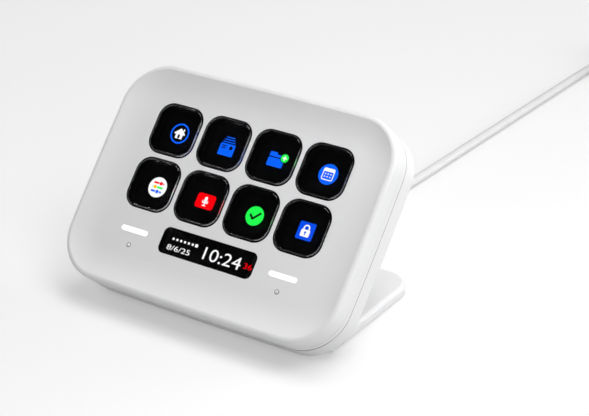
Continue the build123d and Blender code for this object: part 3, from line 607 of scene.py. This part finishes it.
MICROPHONE = [
    panel(0, 0, 7.5, 5.3, 1.1, "red"),
    panel(0, 0.55, 1.15, 2.2, 0.55, "white"),
    panel(0, -0.55, 2.3, 0.36, 0.16, "white"),
    panel(-1.0, -0.2, 0.36, 1.0, 0.16, "white"),
    panel(1.0, -0.2, 0.36, 1.0, 0.16, "white"),
    panel(0, -1.1, 0.36, 1.2, 0.1, "white"),
    panel(0, -1.6, 1.5, 0.36, 0.16, "white"),
]
TICK = [
    disc(0, 0, 6.9, "green"),
    panel(-1.15, -0.45, 2.3, 0.78, 0.35, "black", -45),
    panel(0.75, 0.15, 3.9, 0.78, 0.35, "black", 45),
]
PADLOCK = [
    panel(0, 0, 6.2, 6.2, 0.5, "deep_blue"),
    panel(0, 0.75, 2.5, 3.0, 1.2, "white"),
    panel(0, 0.65, 1.45, 2.2, 0.7, "deep_blue"),
    panel(0, -0.75, 3.4, 2.5, 0.4, "white"),
    disc(0, -0.5, 0.75, "deep_blue"),
    panel(0, -1.05, 0.36, 0.95, 0.1, "deep_blue"),
]
PICTURES = [HOME, CARDS, FOLDER, CALENDAR, SLIDERS, MICROPHONE, TICK, PADLOCK]


def thicken(bm, before, paint):
    """Makes the new flat faces a closed wafer and paints it."""
    flat = [face for face in bm.faces if face not in before]
    made = bmesh.ops.extrude_face_region(bm, geom=flat)["geom"]
    raised = [item for item in made if isinstance(item, bmesh.types.BMVert)]
    bmesh.ops.translate(bm, verts=raised, vec=(0.0, 0.0, WAFER))
    for face in bm.faces:
        if face not in before:
            face.material_index = list(PAINTS).index(paint)


def add_shape(bm, shape, origin, level):
    """One shape of a picture, as a wafer on the face round an origin (across, up)."""
    kind, *sizes, turn, paint = shape
    across, up, width, height, corner = (size * PICTURE_SCALE for size in sizes)
    before = set(bm.faces)
    place = Matrix.Translation((origin[0] + across * MM, origin[1] + up * MM, level))
    place = place @ Matrix.Rotation(radians(turn), 4, "Z")
    if kind == "panel":
        size = Matrix.Diagonal((width * MM, height * MM, 1.0, 1.0))
        corners = bmesh.ops.create_grid(
            bm, x_segments=1, y_segments=1, size=0.5, matrix=place @ size
        )["verts"]
        if corner:
            edges = list({edge for vert in corners for edge in vert.link_edges})
            bmesh.ops.bevel(
                bm, geom=corners + edges, offset=corner * MM, segments=6, profile=0.5,
                affect="VERTICES", material=-1,
            )
    elif kind == "ring":
        edges = set()
        for diameter in (width, height):
            made = bmesh.ops.create_circle(
                bm, segments=ROUND_SIDES, radius=diameter * MM / 2, matrix=place
            )
            edges.update(edge for vert in made["verts"] for edge in vert.link_edges)
        bmesh.ops.bridge_loops(bm, edges=list(edges))
    else:
        sides, wide, high = ROUND_SIDES, width / 2, width / 2
        if kind == "wedge":  # a triangle in a unit circle is 1.5 high and the root of 3 wide
            sides, wide, high = 3, width / 3**0.5, height / 1.5
        size = Matrix.Diagonal((wide * MM, high * MM, 1.0, 1.0))
        bmesh.ops.create_circle(bm, cap_ends=True, segments=sides, radius=1.0, matrix=place @ size)
    thicken(bm, before, paint)


def add_figures(bm, words, left, middle, width, height, level, paint):
    """Figures as wafers, fitted into a box on the face, in millimetres."""
    curve = bpy.data.curves.new("figures", "FONT")
    curve.body = words
    curve.resolution_u = 4
    text = new_object("figures", curve)
    bpy.context.view_layer.update()
    graph = bpy.context.evaluated_depsgraph_get()
    mesh = bpy.data.meshes.new_from_object(text.evaluated_get(graph))
    bpy.data.objects.remove(text)
    xs, ys = [vert.co.x for vert in mesh.vertices], [vert.co.y for vert in mesh.vertices]
    centre = Matrix.Translation((-min(xs), -(min(ys) + max(ys)) / 2, 0.0))
    wide, high = width * MM / (max(xs) - min(xs)), height * MM / (max(ys) - min(ys))
    size = Matrix.Diagonal((wide, high, 1.0, 1.0))
    mesh.transform(Matrix.Translation((left * MM, middle * MM, level)) @ size @ centre)
    before = set(bm.faces)
    bm.from_mesh(mesh)
    bpy.data.meshes.remove(mesh)
    thicken(bm, before, paint)


# --- Operators ---


class KEYPAD_OT_stage(bpy.types.Operator):
    """Sets up the camera, the softboxes, the sky and the studio floor"""

    bl_idname = "keypad.stage"
    bl_label = "Stage"

    # Softboxes: degrees round from the keypad's right side, degrees up, metres away, metres wide.
    SOFTBOXES = {
        "overhead": (90, 72, 1.2, 0.6),
        "near": (-10, 60, 0.35, 0.22),
        "back": (90, 45, 1.2, 0.8),
        "back_right": (45, 15, 1.2, 0.6),
        "front_right": (-40, 14, 1.2, 0.5),
        "right_low": (0, 8, 1.2, 0.5),
        "front_low": (-85, 6, 1.2, 0.4),
        "left": (180, 35, 1.2, 0.8),
        "glint": (-125, 12, 1.2, 0.12),
    }
    UNMIRRORED = ("near", "front_right", "right_low", "front_low")  # these leave no reflection
    AIM = (0.0, 0.0, 0.03)  # middle of the keypad, at which the softboxes point
    # Brightness that polished faces mirror: at the horizon, overhead, and where the latter begins.
    HORIZON, CEILING, CEILING_FROM = 1.0, 0.015, 0.22
    # The floor's far part: where its own lift begins, where that is full, and how strong it is.
    FAR_FROM, FAR_FULL, FAR_LIFT = 0.6, 2.0, 0.97
    FLOOR_REACH = 4.0

    def softbox(self, name, power):
        round_from_right, up, away, wide = self.SOFTBOXES[name]
        lamp = bpy.data.lights.new(f"{name}_softbox", "AREA")
        lamp.size = wide
        lamp.energy = power
        holder = new_object(f"{name}_softbox", lamp)
        turn = Matrix.Rotation(radians(round_from_right), 4, "Z")
        turn = turn @ Matrix.Rotation(radians(90 - up), 4, "Y")
        out = Matrix.Translation((0.0, 0.0, away))
        holder.matrix_world = Matrix.Translation(self.AIM) @ turn @ out
        holder.visible_camera = False
        holder.visible_glossy = name not in self.UNMIRRORED

    def camera(self, settings):
        data = bpy.data.cameras.new("view")
        data.lens = settings.lens
        data.clip_start, data.clip_end = 0.01, 20.0
        turn = Matrix.Rotation(settings.azimuth, 4, "Z")
        turn = turn @ Matrix.Rotation(pi / 2 - settings.elevation, 4, "X")
        turn = turn @ Matrix.Rotation(settings.roll, 4, "Z")
        holder = new_object("view", data)
        holder.matrix_world = Matrix.Translation(settings.camera_place) @ turn
        bpy.context.scene.camera = holder

    def sky(self, settings):
        """White for the camera, dark overhead in reflections, and plain grey as soft light."""
        world = bpy.data.worlds.new("sky")
        bpy.context.scene.world = world
        world.use_nodes = True
        tree = world.node_tree
        tree.nodes.clear()
        direction = tree.nodes.new("ShaderNodeTexCoord")
        height = parts_of(tree, direction.outputs["Generated"])["Z"]
        limits = (0.0, self.CEILING_FROM)
        mirrored = ranged(tree, height, limits, (self.HORIZON, self.CEILING))
        path = tree.nodes.new("ShaderNodeLightPath")
        seen = tree.nodes.new("ShaderNodeBackground")
        bright = maths(tree, "MAXIMUM", mirrored, path.outputs["Is Camera Ray"])
        link(tree, bright, seen.inputs["Strength"])
        fill = tree.nodes.new("ShaderNodeBackground")
        fill.inputs["Strength"].default_value = settings.sky_fill
        mixed = tree.nodes.new("ShaderNodeMixShader")
        link(tree, self.seen_rays(tree), mixed.inputs[0])
        link(tree, fill.outputs[0], mixed.inputs[1])
        link(tree, seen.outputs[0], mixed.inputs[2])
        output = tree.nodes.new("ShaderNodeOutputWorld")
        link(tree, mixed.outputs[0], output.inputs[0])

    def seen_rays(self, tree):
        """1 for camera, glossy and transmission rays."""
        path = tree.nodes.new("ShaderNodeLightPath")
        seen = path.outputs["Is Camera Ray"]
        for kind in ("Is Glossy Ray", "Is Transmission Ray"):
            seen = maths(tree, "MAXIMUM", seen, path.outputs[kind])
        return seen

    def far_lift(self, tree):
        """Lift that makes up for the lamps' fading on the floor further away."""
        place = tree.nodes.new("ShaderNodeTexCoord")
        away = tree.nodes.new("ShaderNodeVectorMath")
        away.operation = "LENGTH"
        link(tree, place.outputs["Object"], away.inputs[0])
        limits = (self.FAR_FROM, self.FAR_FULL)
        return ranged(tree, away.outputs["Value"], limits, (0.0, self.FAR_LIFT))

    def floor(self, settings):
        bm = bmesh.new()
        bmesh.ops.create_grid(bm, x_segments=1, y_segments=1, size=self.FLOOR_REACH)
        mesh = bpy.data.meshes.new("studio_floor")
        bm.to_mesh(mesh)
        bm.free()
        material, tree, shader = new_material(
            "studio_floor", Base_Color=(*settings.floor_colour, 1.0), Roughness=0.9,
            Specular_IOR_Level=0.0,
        )
        lift = tree.nodes.new("ShaderNodeEmission")
        contact = tree.nodes.new("ShaderNodeAmbientOcclusion")
        contact.inputs["Distance"].default_value = settings.contact_reach
        shade, full = settings.contact_shade, settings.floor_lift
        lifted = maths(tree, "MULTIPLY", contact.outputs["AO"], shade * full)
        lifted = maths(tree, "ADD", lifted, (1 - shade) * full)
        lifted = maths(tree, "MAXIMUM", lifted, self.far_lift(tree))
        seen = self.seen_rays(tree)
        link(tree, maths(tree, "MULTIPLY", seen, lifted), lift.inputs["Strength"])
        both = tree.nodes.new("ShaderNodeAddShader")
        link(tree, shader.outputs[0], both.inputs[0])
        link(tree, lift.outputs[0], both.inputs[1])
        link(tree, both.outputs[0], tree.nodes["Material Output"].inputs["Surface"])
        mesh.materials.append(material)
        new_object("studio_floor", mesh)

    def execute(self, context):
        settings = context.scene.keypad_stage
        context.scene.view_settings.view_transform = "Standard"
        self.camera(settings)
        for name in self.SOFTBOXES:
            self.softbox(name, getattr(settings, f"{name}_power"))
        self.sky(settings)
        self.floor(settings)
        return {"FINISHED"}


class KEYPAD_OT_lead(bpy.types.Operator):
    """Lays the lead on the desk and winds its put-away length into a coil"""

    bl_idname = "keypad.lead"
    bl_label = "Lead"

    # Corners of the route on the desk, from the relief's tip to where the coil begins.
    ROUTE = [
        (0.0, 0.027369, 0.027125),
        (0.0, 0.055749, 0.00175),
        (0.0045, 0.0900, 0.00175),
        (0.00609, 0.12446, 0.00175),
        (0.0131, 0.2768, 0.00175),
    ]
    # The coil's turns in order, each as (turns in from the outside, turns up from the floor).
    WINDING = [(0, 0), (1, 0), (2, 0), (2, 1), (2, 2), (1, 2), (1, 1), (0, 2), (0, 1)]
    # From coil to plug: where on the way the lead is highest, by how much, and its straight end.
    HUMP_AT, HUMP_RISE, STRAIGHT_END = 0.35, 0.8 * MM, 9 * MM

    def coil_points(self, settings):
        """Turns of the coil, clockwise seen from above, from its left side to its right side."""
        low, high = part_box("cable_coil")
        centre = (low + high) / 2
        outer = (high.x - low.x) / 2 - settings.diameter / 2
        count = settings.turn_points
        inside = cos(pi / count)  # the line's radius as a share of that of its points
        steps = count * (len(self.WINDING) - 1) + count // 2
        change = count // 4
        points = []
        for step in range(1, steps + 1):
            turn, part = divmod(step, count)
            here = Vector(self.WINDING[turn])
            left = count - part
            if left < change and turn + 1 < len(self.WINDING):
                here = here.lerp(Vector(self.WINDING[turn + 1]), 1 - left / change)
            radius = (outer - here.x * settings.diameter) / inside
            angle = pi - 2 * pi * step / count
            rise = settings.diameter * (0.5 + here.y)
            points.append((centre.x + radius * cos(angle), centre.y + radius * sin(angle), rise))
        return points

    def execute(self, context):
        settings = context.scene.keypad_lead
        low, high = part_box("usb_plug_body")
        plug = Vector(((low.x + high.x) / 2, high.y, (low.z + high.z) / 2))
        coil = self.coil_points(settings)
        hump = Vector(coil[-1]).lerp(plug, self.HUMP_AT) + Vector((0.0, 0.0, self.HUMP_RISE))
        before_plug = plug + Vector((0.0, self.STRAIGHT_END, 0.0))
        points = [*self.ROUTE, *coil, hump, before_plug, plug]
        curve = bpy.data.curves.new("lead", "CURVE")
        curve.dimensions = "3D"
        curve.bevel_depth = settings.diameter / 2
        curve.bevel_resolution = 5
        curve.use_fill_caps = True
        spline = curve.splines.new("NURBS")
        spline.points.add(len(points) - 1)
        for item, point in zip(spline.points, points):
            item.co = (*point, 1.0)
        spline.order_u = 3
        spline.use_endpoint_u = True
        spline.resolution_u = 8
        sleeve = moulded_material(
            "lead_sleeve", settings.colour, 0.5, 2600.0, relief=SOFT_RELIEF, clouding=0.03
        )
        curve.materials.append(sleeve)
        lead = new_piece("lead", curve, "keypad")
        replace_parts(lead, "usb_cable", "cable_coil", "cable_tail")
        relief = moulded_material(
            "relief_rubber", (0.78, 0.78, 0.785), 0.55, 3000.0, relief=SOFT_RELIEF
        )
        paint_node("strain_relief", relief)
        overmould = moulded_material("plug_overmould", (0.82, 0.82, 0.825), 0.45, 4200.0)
        paint_node("usb_plug_body", overmould)
        paint_node("usb_plug_shell", metal_material("plug_steel", (0.72, 0.72, 0.73), 0.25))
        return {"FINISHED"}


class KEYPAD_OT_shells(bpy.types.Operator):
    """Finishes the two moulded shells of the case"""

    bl_idname = "keypad.shells"
    bl_label = "Case shells"

    LOWER_EDGE = (-31 * MM, -37 * MM)  # heights up the face between which the painted shade in the joint widens
    PRINT_LOW, PRINT_HIGH = -1.7 * MM, -0.1 * MM  # levels of the painted shade, in black, on the opening walls
    GAP_SHADE_REACH = 11 * MM  # from a key's middle to past its opening
    # Black painted as shade in the gaps round the keys and the screen.
    GAP_SHADE_COLOUR = (0.004, 0.004, 0.004)

    def joint_mask(self, tree, up, out, settings):
        """1 in the joint between the shells, where shade is painted; the painted band is wider
        along the lower edge.
        """
        top = face_span("front_shell")[0].z - FLOOR_LEVEL
        bottoms = (top - settings.joint, top - settings.joint_shade_below)
        bottom = ranged(tree, up, self.LOWER_EDGE, bottoms, smooth=False)
        return within(tree, out, bottom, top + SLACK)

    def opening_shade_mask(self, tree, across, up, out):
        """1 on the walls of the openings of keys and screen, where black is painted as shade in the
        gap.
        """
        first, last = key_place(1), key_place(KEY_COUNT)
        reach = self.GAP_SHADE_REACH
        low, high = (first[0] - reach, last[1] - reach), (last[0] + reach, first[1] + reach)
        in_keys = within_box(tree, across, up, low, high)
        middle = Vector(node_place("info_window"))
        low, high = face_span("info_window")
        half = ((high - low) / 2).xy + Vector((MM, MM))
        in_info = within_box(tree, across, up, middle - half, middle + half)
        inside = within(tree, out, self.PRINT_LOW, self.PRINT_HIGH)
        return maths(tree, "MULTIPLY", inside, maths(tree, "MAXIMUM", in_keys, in_info))

    def dot_shade_mask(self, tree, across, up, place, settings):
        """1 in the ring round a touch dot where shade is painted."""
        offsets = [maths(tree, "SUBTRACT", *pair) for pair in zip((across, up), place)]
        squares = [maths(tree, "MULTIPLY", offset, offset) for offset in offsets]
        distance = maths(tree, "SQRT", maths(tree, "ADD", *squares))
        radius = settings.dot_size / 2
        return within(tree, distance, radius, radius + settings.dot_shade_width)

    def shell(self, name, settings):
        """White moulding, with shade painted in its joint, round its dots and, in black, in its
        openings.
        """
        material = moulded_material(name, settings.colour, settings.roughness, settings.grain)
        tree = material.node_tree
        shader = tree.nodes["Principled BSDF"]
        painted = shader.inputs["Base Color"].links[0].from_socket
        across, up, out = face_coordinates(tree)
        # Painted shade in the joint between the shells, wider along the lower edge.
        joint = self.joint_mask(tree, up, out, settings)
        painted = paint_where(tree, joint, painted, settings.painted_shade_colour)
        # Painted shade: the walls of the openings round the keys and screen are painted black.
        opening = self.opening_shade_mask(tree, across, up, out)
        painted = paint_where(tree, opening, painted, self.GAP_SHADE_COLOUR)
        # Painted shade: a dark ring round each touch dot.
        for side in ("left", "right"):
            place = node_place(f"touch_pad_{side}")
            ring = self.dot_shade_mask(tree, across, up, place, settings)
            painted = paint_where(tree, ring, painted, settings.painted_shade_colour)
        link(tree, painted, shader.inputs["Base Color"])
        return material

    def execute(self, context):
        settings = context.scene.keypad_case
        white = self.shell("shell_white", settings)
        for node in ("front_shell", "rear_shell"):
            paint_node(node, white)
        return {"FINISHED"}


class KEYPAD_OT_stand(bpy.types.Operator):
    """Finishes the stand, its ballast plate and its foot pad"""

    bl_idname = "keypad.stand"
    bl_label = "Stand"

    def execute(self, context):
        settings = context.scene.keypad_case
        white = moulded_material(
            "stand_white", settings.colour, settings.roughness + 0.03, settings.grain
        )
        paint_node("stand", white)
        ballast = metal_material("ballast_steel", (0.45, 0.45, 0.46), 0.4, streaks=0.2)
        paint_node("ballast_plate", ballast)
        rubber = moulded_material(
            "foot_rubber", (0.30, 0.30, 0.31), 0.8, 1800.0, relief=PAD_RELIEF, clouding=0.08
        )
        paint_node("foot_pad", rubber)
        return {"FINISHED"}


class KEYPAD_OT_keys(bpy.types.Operator):
    """Moulds the eight clear keys"""

    bl_idname = "keypad.keys"
    bl_label = "Clear keys"

    def key(self, number, settings, materials):
        low, high = face_span(f"key_cap_{number}")
        across, up = key_place(number)
        foot, top_level = low.z - FLOOR_LEVEL, high.z - FLOOR_LEVEL
        bm = bmesh.new()
        place = Matrix.Translation((across, up, foot + settings.flange_height / 2))
        size = Matrix.Diagonal((high.x - low.x, high.y - low.y, settings.flange_height, 1.0))
        bmesh.ops.create_cube(bm, size=1.0, matrix=place @ size)
        upright = [
            edge for edge in bm.edges if abs(edge.verts[0].co.z - edge.verts[1].co.z) > SLACK
        ]
        bmesh.ops.bevel(
            bm, geom=upright, offset=settings.corner + settings.flange_width, offset_type="OFFSET",
            segments=settings.corner_steps, profile=0.5, affect="EDGES", material=-1,
        )
        top = max(bm.faces, key=lambda face: face.calc_center_median().z)
        bmesh.ops.inset_region(
            bm, faces=[top], thickness=settings.flange_width, use_even_offset=True
        )
        rise = top_level - foot - settings.flange_height
        bmesh.ops.inset_region(bm, faces=[top], thickness=0.0, depth=rise)
        bmesh.ops.bevel(
            bm, geom=list(top.edges), offset=settings.edge_round, offset_type="OFFSET",
            segments=settings.edge_steps, profile=0.5, affect="EDGES", material=-1,
        )
        for face in bm.faces:
            height = max(vert.co.z for vert in face.verts)
            if foot + SLACK < height < top_level - settings.masked_below:
                face.material_index = 1
        bm.transform(FACE)
        piece = mesh_piece(
            bm, f"clear_key_{number}", f"key_{number}", materials, weighted=True
        )
        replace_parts(piece, f"key_cap_{number}")

    def execute(self, context):
        settings = context.scene.keypad_keys
        clear = polished_material(
            "key_clear", (0.97, 0.98, 1.0), 0.0, Transmission_Weight=1.0, IOR=ACRYLIC_IOR
        )
        # Black print round a key's sides, which hides the gap to the case.
        mask = moulded_material(
            "key_mask", (0.0015, 0.0015, 0.0015), 0.7, 6000.0, Specular_IOR_Level=0.02
        )
        for number in range(1, KEY_COUNT + 1):
            self.key(number, settings, [clear, mask])
        return {"FINISHED"}


class KEYPAD_OT_pictures(bpy.types.Operator):
    """Lights the display below the keys, with one picture under each key"""

    bl_idname = "keypad.pictures"
    bl_label = "Key pictures"

    def execute(self, context):
        settings = context.scene.keypad_keys
        paints = lit_paints("lit", settings.glow)
        for number, picture in enumerate(PICTURES, start=1):
            bm = bmesh.new()
            for layer, shape in enumerate(picture):
                level = LCD_LEVEL + LAYER_GAP + layer * LAYER
                add_shape(bm, shape, key_place(number), level)
            bm.transform(FACE)
            mesh_piece(bm, f"key_picture_{number}", "keypad", paints)
        black = polished_material(
            "display_black", (0.004, 0.004, 0.005), 0.12, Specular_IOR_Level=0.3
        )
        paint_node("lcd_panel", black)
        return {"FINISHED"}


class KEYPAD_OT_info(bpy.types.Operator):
    """Lights the info screen with the time and date figures behind its dark window"""

    bl_idname = "keypad.info"
    bl_label = "Info screen"

    # Figures: (words, left end, height of their middle from the window's, width, height, paint).
    FIGURES = [
        ("10:24", -1.8, -0.2, 14.5, 4.2, "white"),
        ("8/6/25", -16.0, -1.75, 9.2, 1.8, "white"),
        ("36", 13.9, -0.25, 3.1, 1.9, "red"),
    ]
    # Day marks: how many, the first one's place, their pitch, their size and today's size.
    DAYS, FIRST_DAY, DAY_PITCH, DAY_SIZE, TODAY_SIZE = 7, (-15.4, 1.3), 1.62, 0.8, 1.15

    def execute(self, context):
        settings = context.scene.keypad_keys
        window = node_place("info_window")
        level = INFO_LEVEL + LAYER_GAP
        bm = bmesh.new()
        for words, left, up, width, height, paint in self.FIGURES:
            add_figures(bm, words, left, window[1] / MM + up, width, height, level, paint)
        for day in range(self.DAYS):
            size = self.TODAY_SIZE if day == self.DAYS - 1 else self.DAY_SIZE
            across, up = self.FIRST_DAY[0] + self.DAY_PITCH * day, self.FIRST_DAY[1]
            add_shape(bm, panel(across, up, size, size, 0.2, "white"), window, level)
        bm.transform(FACE)
        paints = lit_paints("figure", settings.glow)
        mesh_piece(bm, "info_figures", "keypad", paints)
        smoked = polished_material(
            "info_window", (0.85, 0.85, 0.87), 0.0, Transmission_Weight=1.0, IOR=ACRYLIC_IOR
        )
        paint_node("info_window", smoked)
        black = polished_material("info_black", (0.003, 0.003, 0.004), 0.3, Specular_IOR_Level=0.2)
        paint_node("info_display", black)
        return {"FINISHED"}


class KEYPAD_OT_bars(bpy.types.Operator):
    """Lights the two bars beside the info screen"""

    bl_idname = "keypad.bars"
    bl_label = "Light bars"

    def execute(self, context):
        settings = context.scene.keypad_keys
        material = lit_material("lit_bar", (1.0, 1.0, 1.0), settings.bar_glow, depth=0.02)
        for side in ("left", "right"):
            paint_node(f"light_bar_{side}", material)
        return {"FINISHED"}


class KEYPAD_OT_mat(bpy.types.Operator):
    """Parts the silicone switch mat into its sheet and the soft collar under each key"""

    bl_idname = "keypad.mat"
    bl_label = "Switch mat"

    def cut_mat(self, foot, collars):
        """Copy of the mat's mesh, either the collars above their foot or the sheet below it."""
        bm = bmesh.new()
        bm.from_mesh(frame["nodes"]["dome_mat"].data)
        bmesh.ops.remove_doubles(bm, verts=bm.verts, dist=SLACK / 10)
        bmesh.ops.bisect_plane(
            bm, geom=[*bm.verts, *bm.edges, *bm.faces], plane_co=FACE @ Vector((0.0, 0.0, foot)),
            plane_no=OUT, clear_outer=not collars, clear_inner=collars,
        )
        return bm

    def close(self, bm):
        """Closes the cut."""
        rim = [edge for edge in bm.edges if edge.is_boundary]
        bmesh.ops.triangle_fill(bm, edges=rim, use_beauty=True, normal=OUT)

    def execute(self, context):
        settings = context.scene.keypad_keys
        silicone = moulded_material(
            "mat_silicone", (0.003, 0.003, 0.0032), 0.8, 2400.0, Specular_IOR_Level=0.03
        )
        foot = face_span("dome_mat")[0].z - FLOOR_LEVEL + settings.mat_thickness + SLACK
        sheet = self.cut_mat(foot, collars=False)
        self.close(sheet)
        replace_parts(mesh_piece(sheet, "mat_sheet", "keypad", [silicone]), "dome_mat")
        for number in range(1, KEY_COUNT + 1):
            place = key_place(number)
            low, high = face_span(f"key_cap_{number}")
            bm = self.cut_mat(foot, collars=True)
            others = [
                vert for vert in bm.verts
                if abs(vert.co.x - place[0]) > (high.x - low.x) / 2
                or abs(vert.co.dot(UP_FACE) - FACE_RISE - place[1]) > (high.y - low.y) / 2
            ]
            bmesh.ops.delete(bm, geom=others, context="VERTS")
            self.close(bm)
            collar = mesh_piece(bm, f"mat_collar_{number}", "keypad", [silicone])
            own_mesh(collar)
        return {"FINISHED"}


class KEYPAD_OT_inner(bpy.types.Operator):
    """Finishes the inner parts and the screws"""

    bl_idname = "keypad.inner"
    bl_label = "Inner parts"

    # Finishes: (name, colour, roughness, grains per metre).
    MOULDED = {
        "lcd_tray": ("tray_grey", (0.16, 0.16, 0.17), 0.5, 4200.0),
        "main_board": ("solder_mask", (0.015, 0.11, 0.05), 0.35, 900.0),
        "board_components": ("chip_black", (0.03, 0.03, 0.032), 0.5, 6000.0),
    }

    def execute(self, context):
        steel = metal_material("screw_steel", (0.6, 0.6, 0.61), 0.3)
        for node in ("case_screws", "tray_screws", "board_screws", "stand_screws"):
            paint_node(node, steel)
        for node, finish in self.MOULDED.items():
            paint_node(node, moulded_material(*finish))
        film = moulded_material("amber_film", (0.5, 0.22, 0.03), 0.25, 700.0)
        for node in ("lcd_flex", "info_flex"):
            paint_node(node, film)
        foil = metal_material("copper_foil", (0.85, 0.5, 0.3), 0.3)
        for side in ("left", "right"):
            paint_node(f"touch_pad_{side}", foil)
        return {"FINISHED"}


OPERATORS = [
    KEYPAD_OT_stage, KEYPAD_OT_lead, KEYPAD_OT_shells, KEYPAD_OT_stand, KEYPAD_OT_keys,
    KEYPAD_OT_pictures, KEYPAD_OT_mat, KEYPAD_OT_info, KEYPAD_OT_bars, KEYPAD_OT_inner,
]


class KEYPAD_PT_panel(bpy.types.Panel):
    """Buttons and settings of the keypad"""

    bl_label = "Desk keypad"
    bl_idname = "KEYPAD_PT_panel"
    bl_space_type = "VIEW_3D"
    bl_region_type = "UI"
    bl_category = "Keypad"

    def draw(self, context):
        for operator in OPERATORS:
            self.layout.operator(operator.bl_idname)
        for name, group in SETTINGS.items():
            settings = getattr(context.scene, name)
            box = self.layout.box()
            for field in group.__annotations__:
                box.prop(settings, field)


def register():
    for name, group in SETTINGS.items():
        bpy.utils.register_class(group)
        setattr(bpy.types.Scene, name, PointerProperty(type=group))
    for item in (*OPERATORS, KEYPAD_PT_panel):
        bpy.utils.register_class(item)


def unregister():
    for item in reversed((*OPERATORS, KEYPAD_PT_panel)):
        bpy.utils.unregister_class(item)
    for name, group in SETTINGS.items():
        delattr(bpy.types.Scene, name)
        bpy.utils.unregister_class(group)


def main():
    register()
    for operator in OPERATORS:
        space, name = operator.bl_idname.split(".")
        getattr(getattr(bpy.ops, space), name)()


if __name__ == "__main__":
    main()
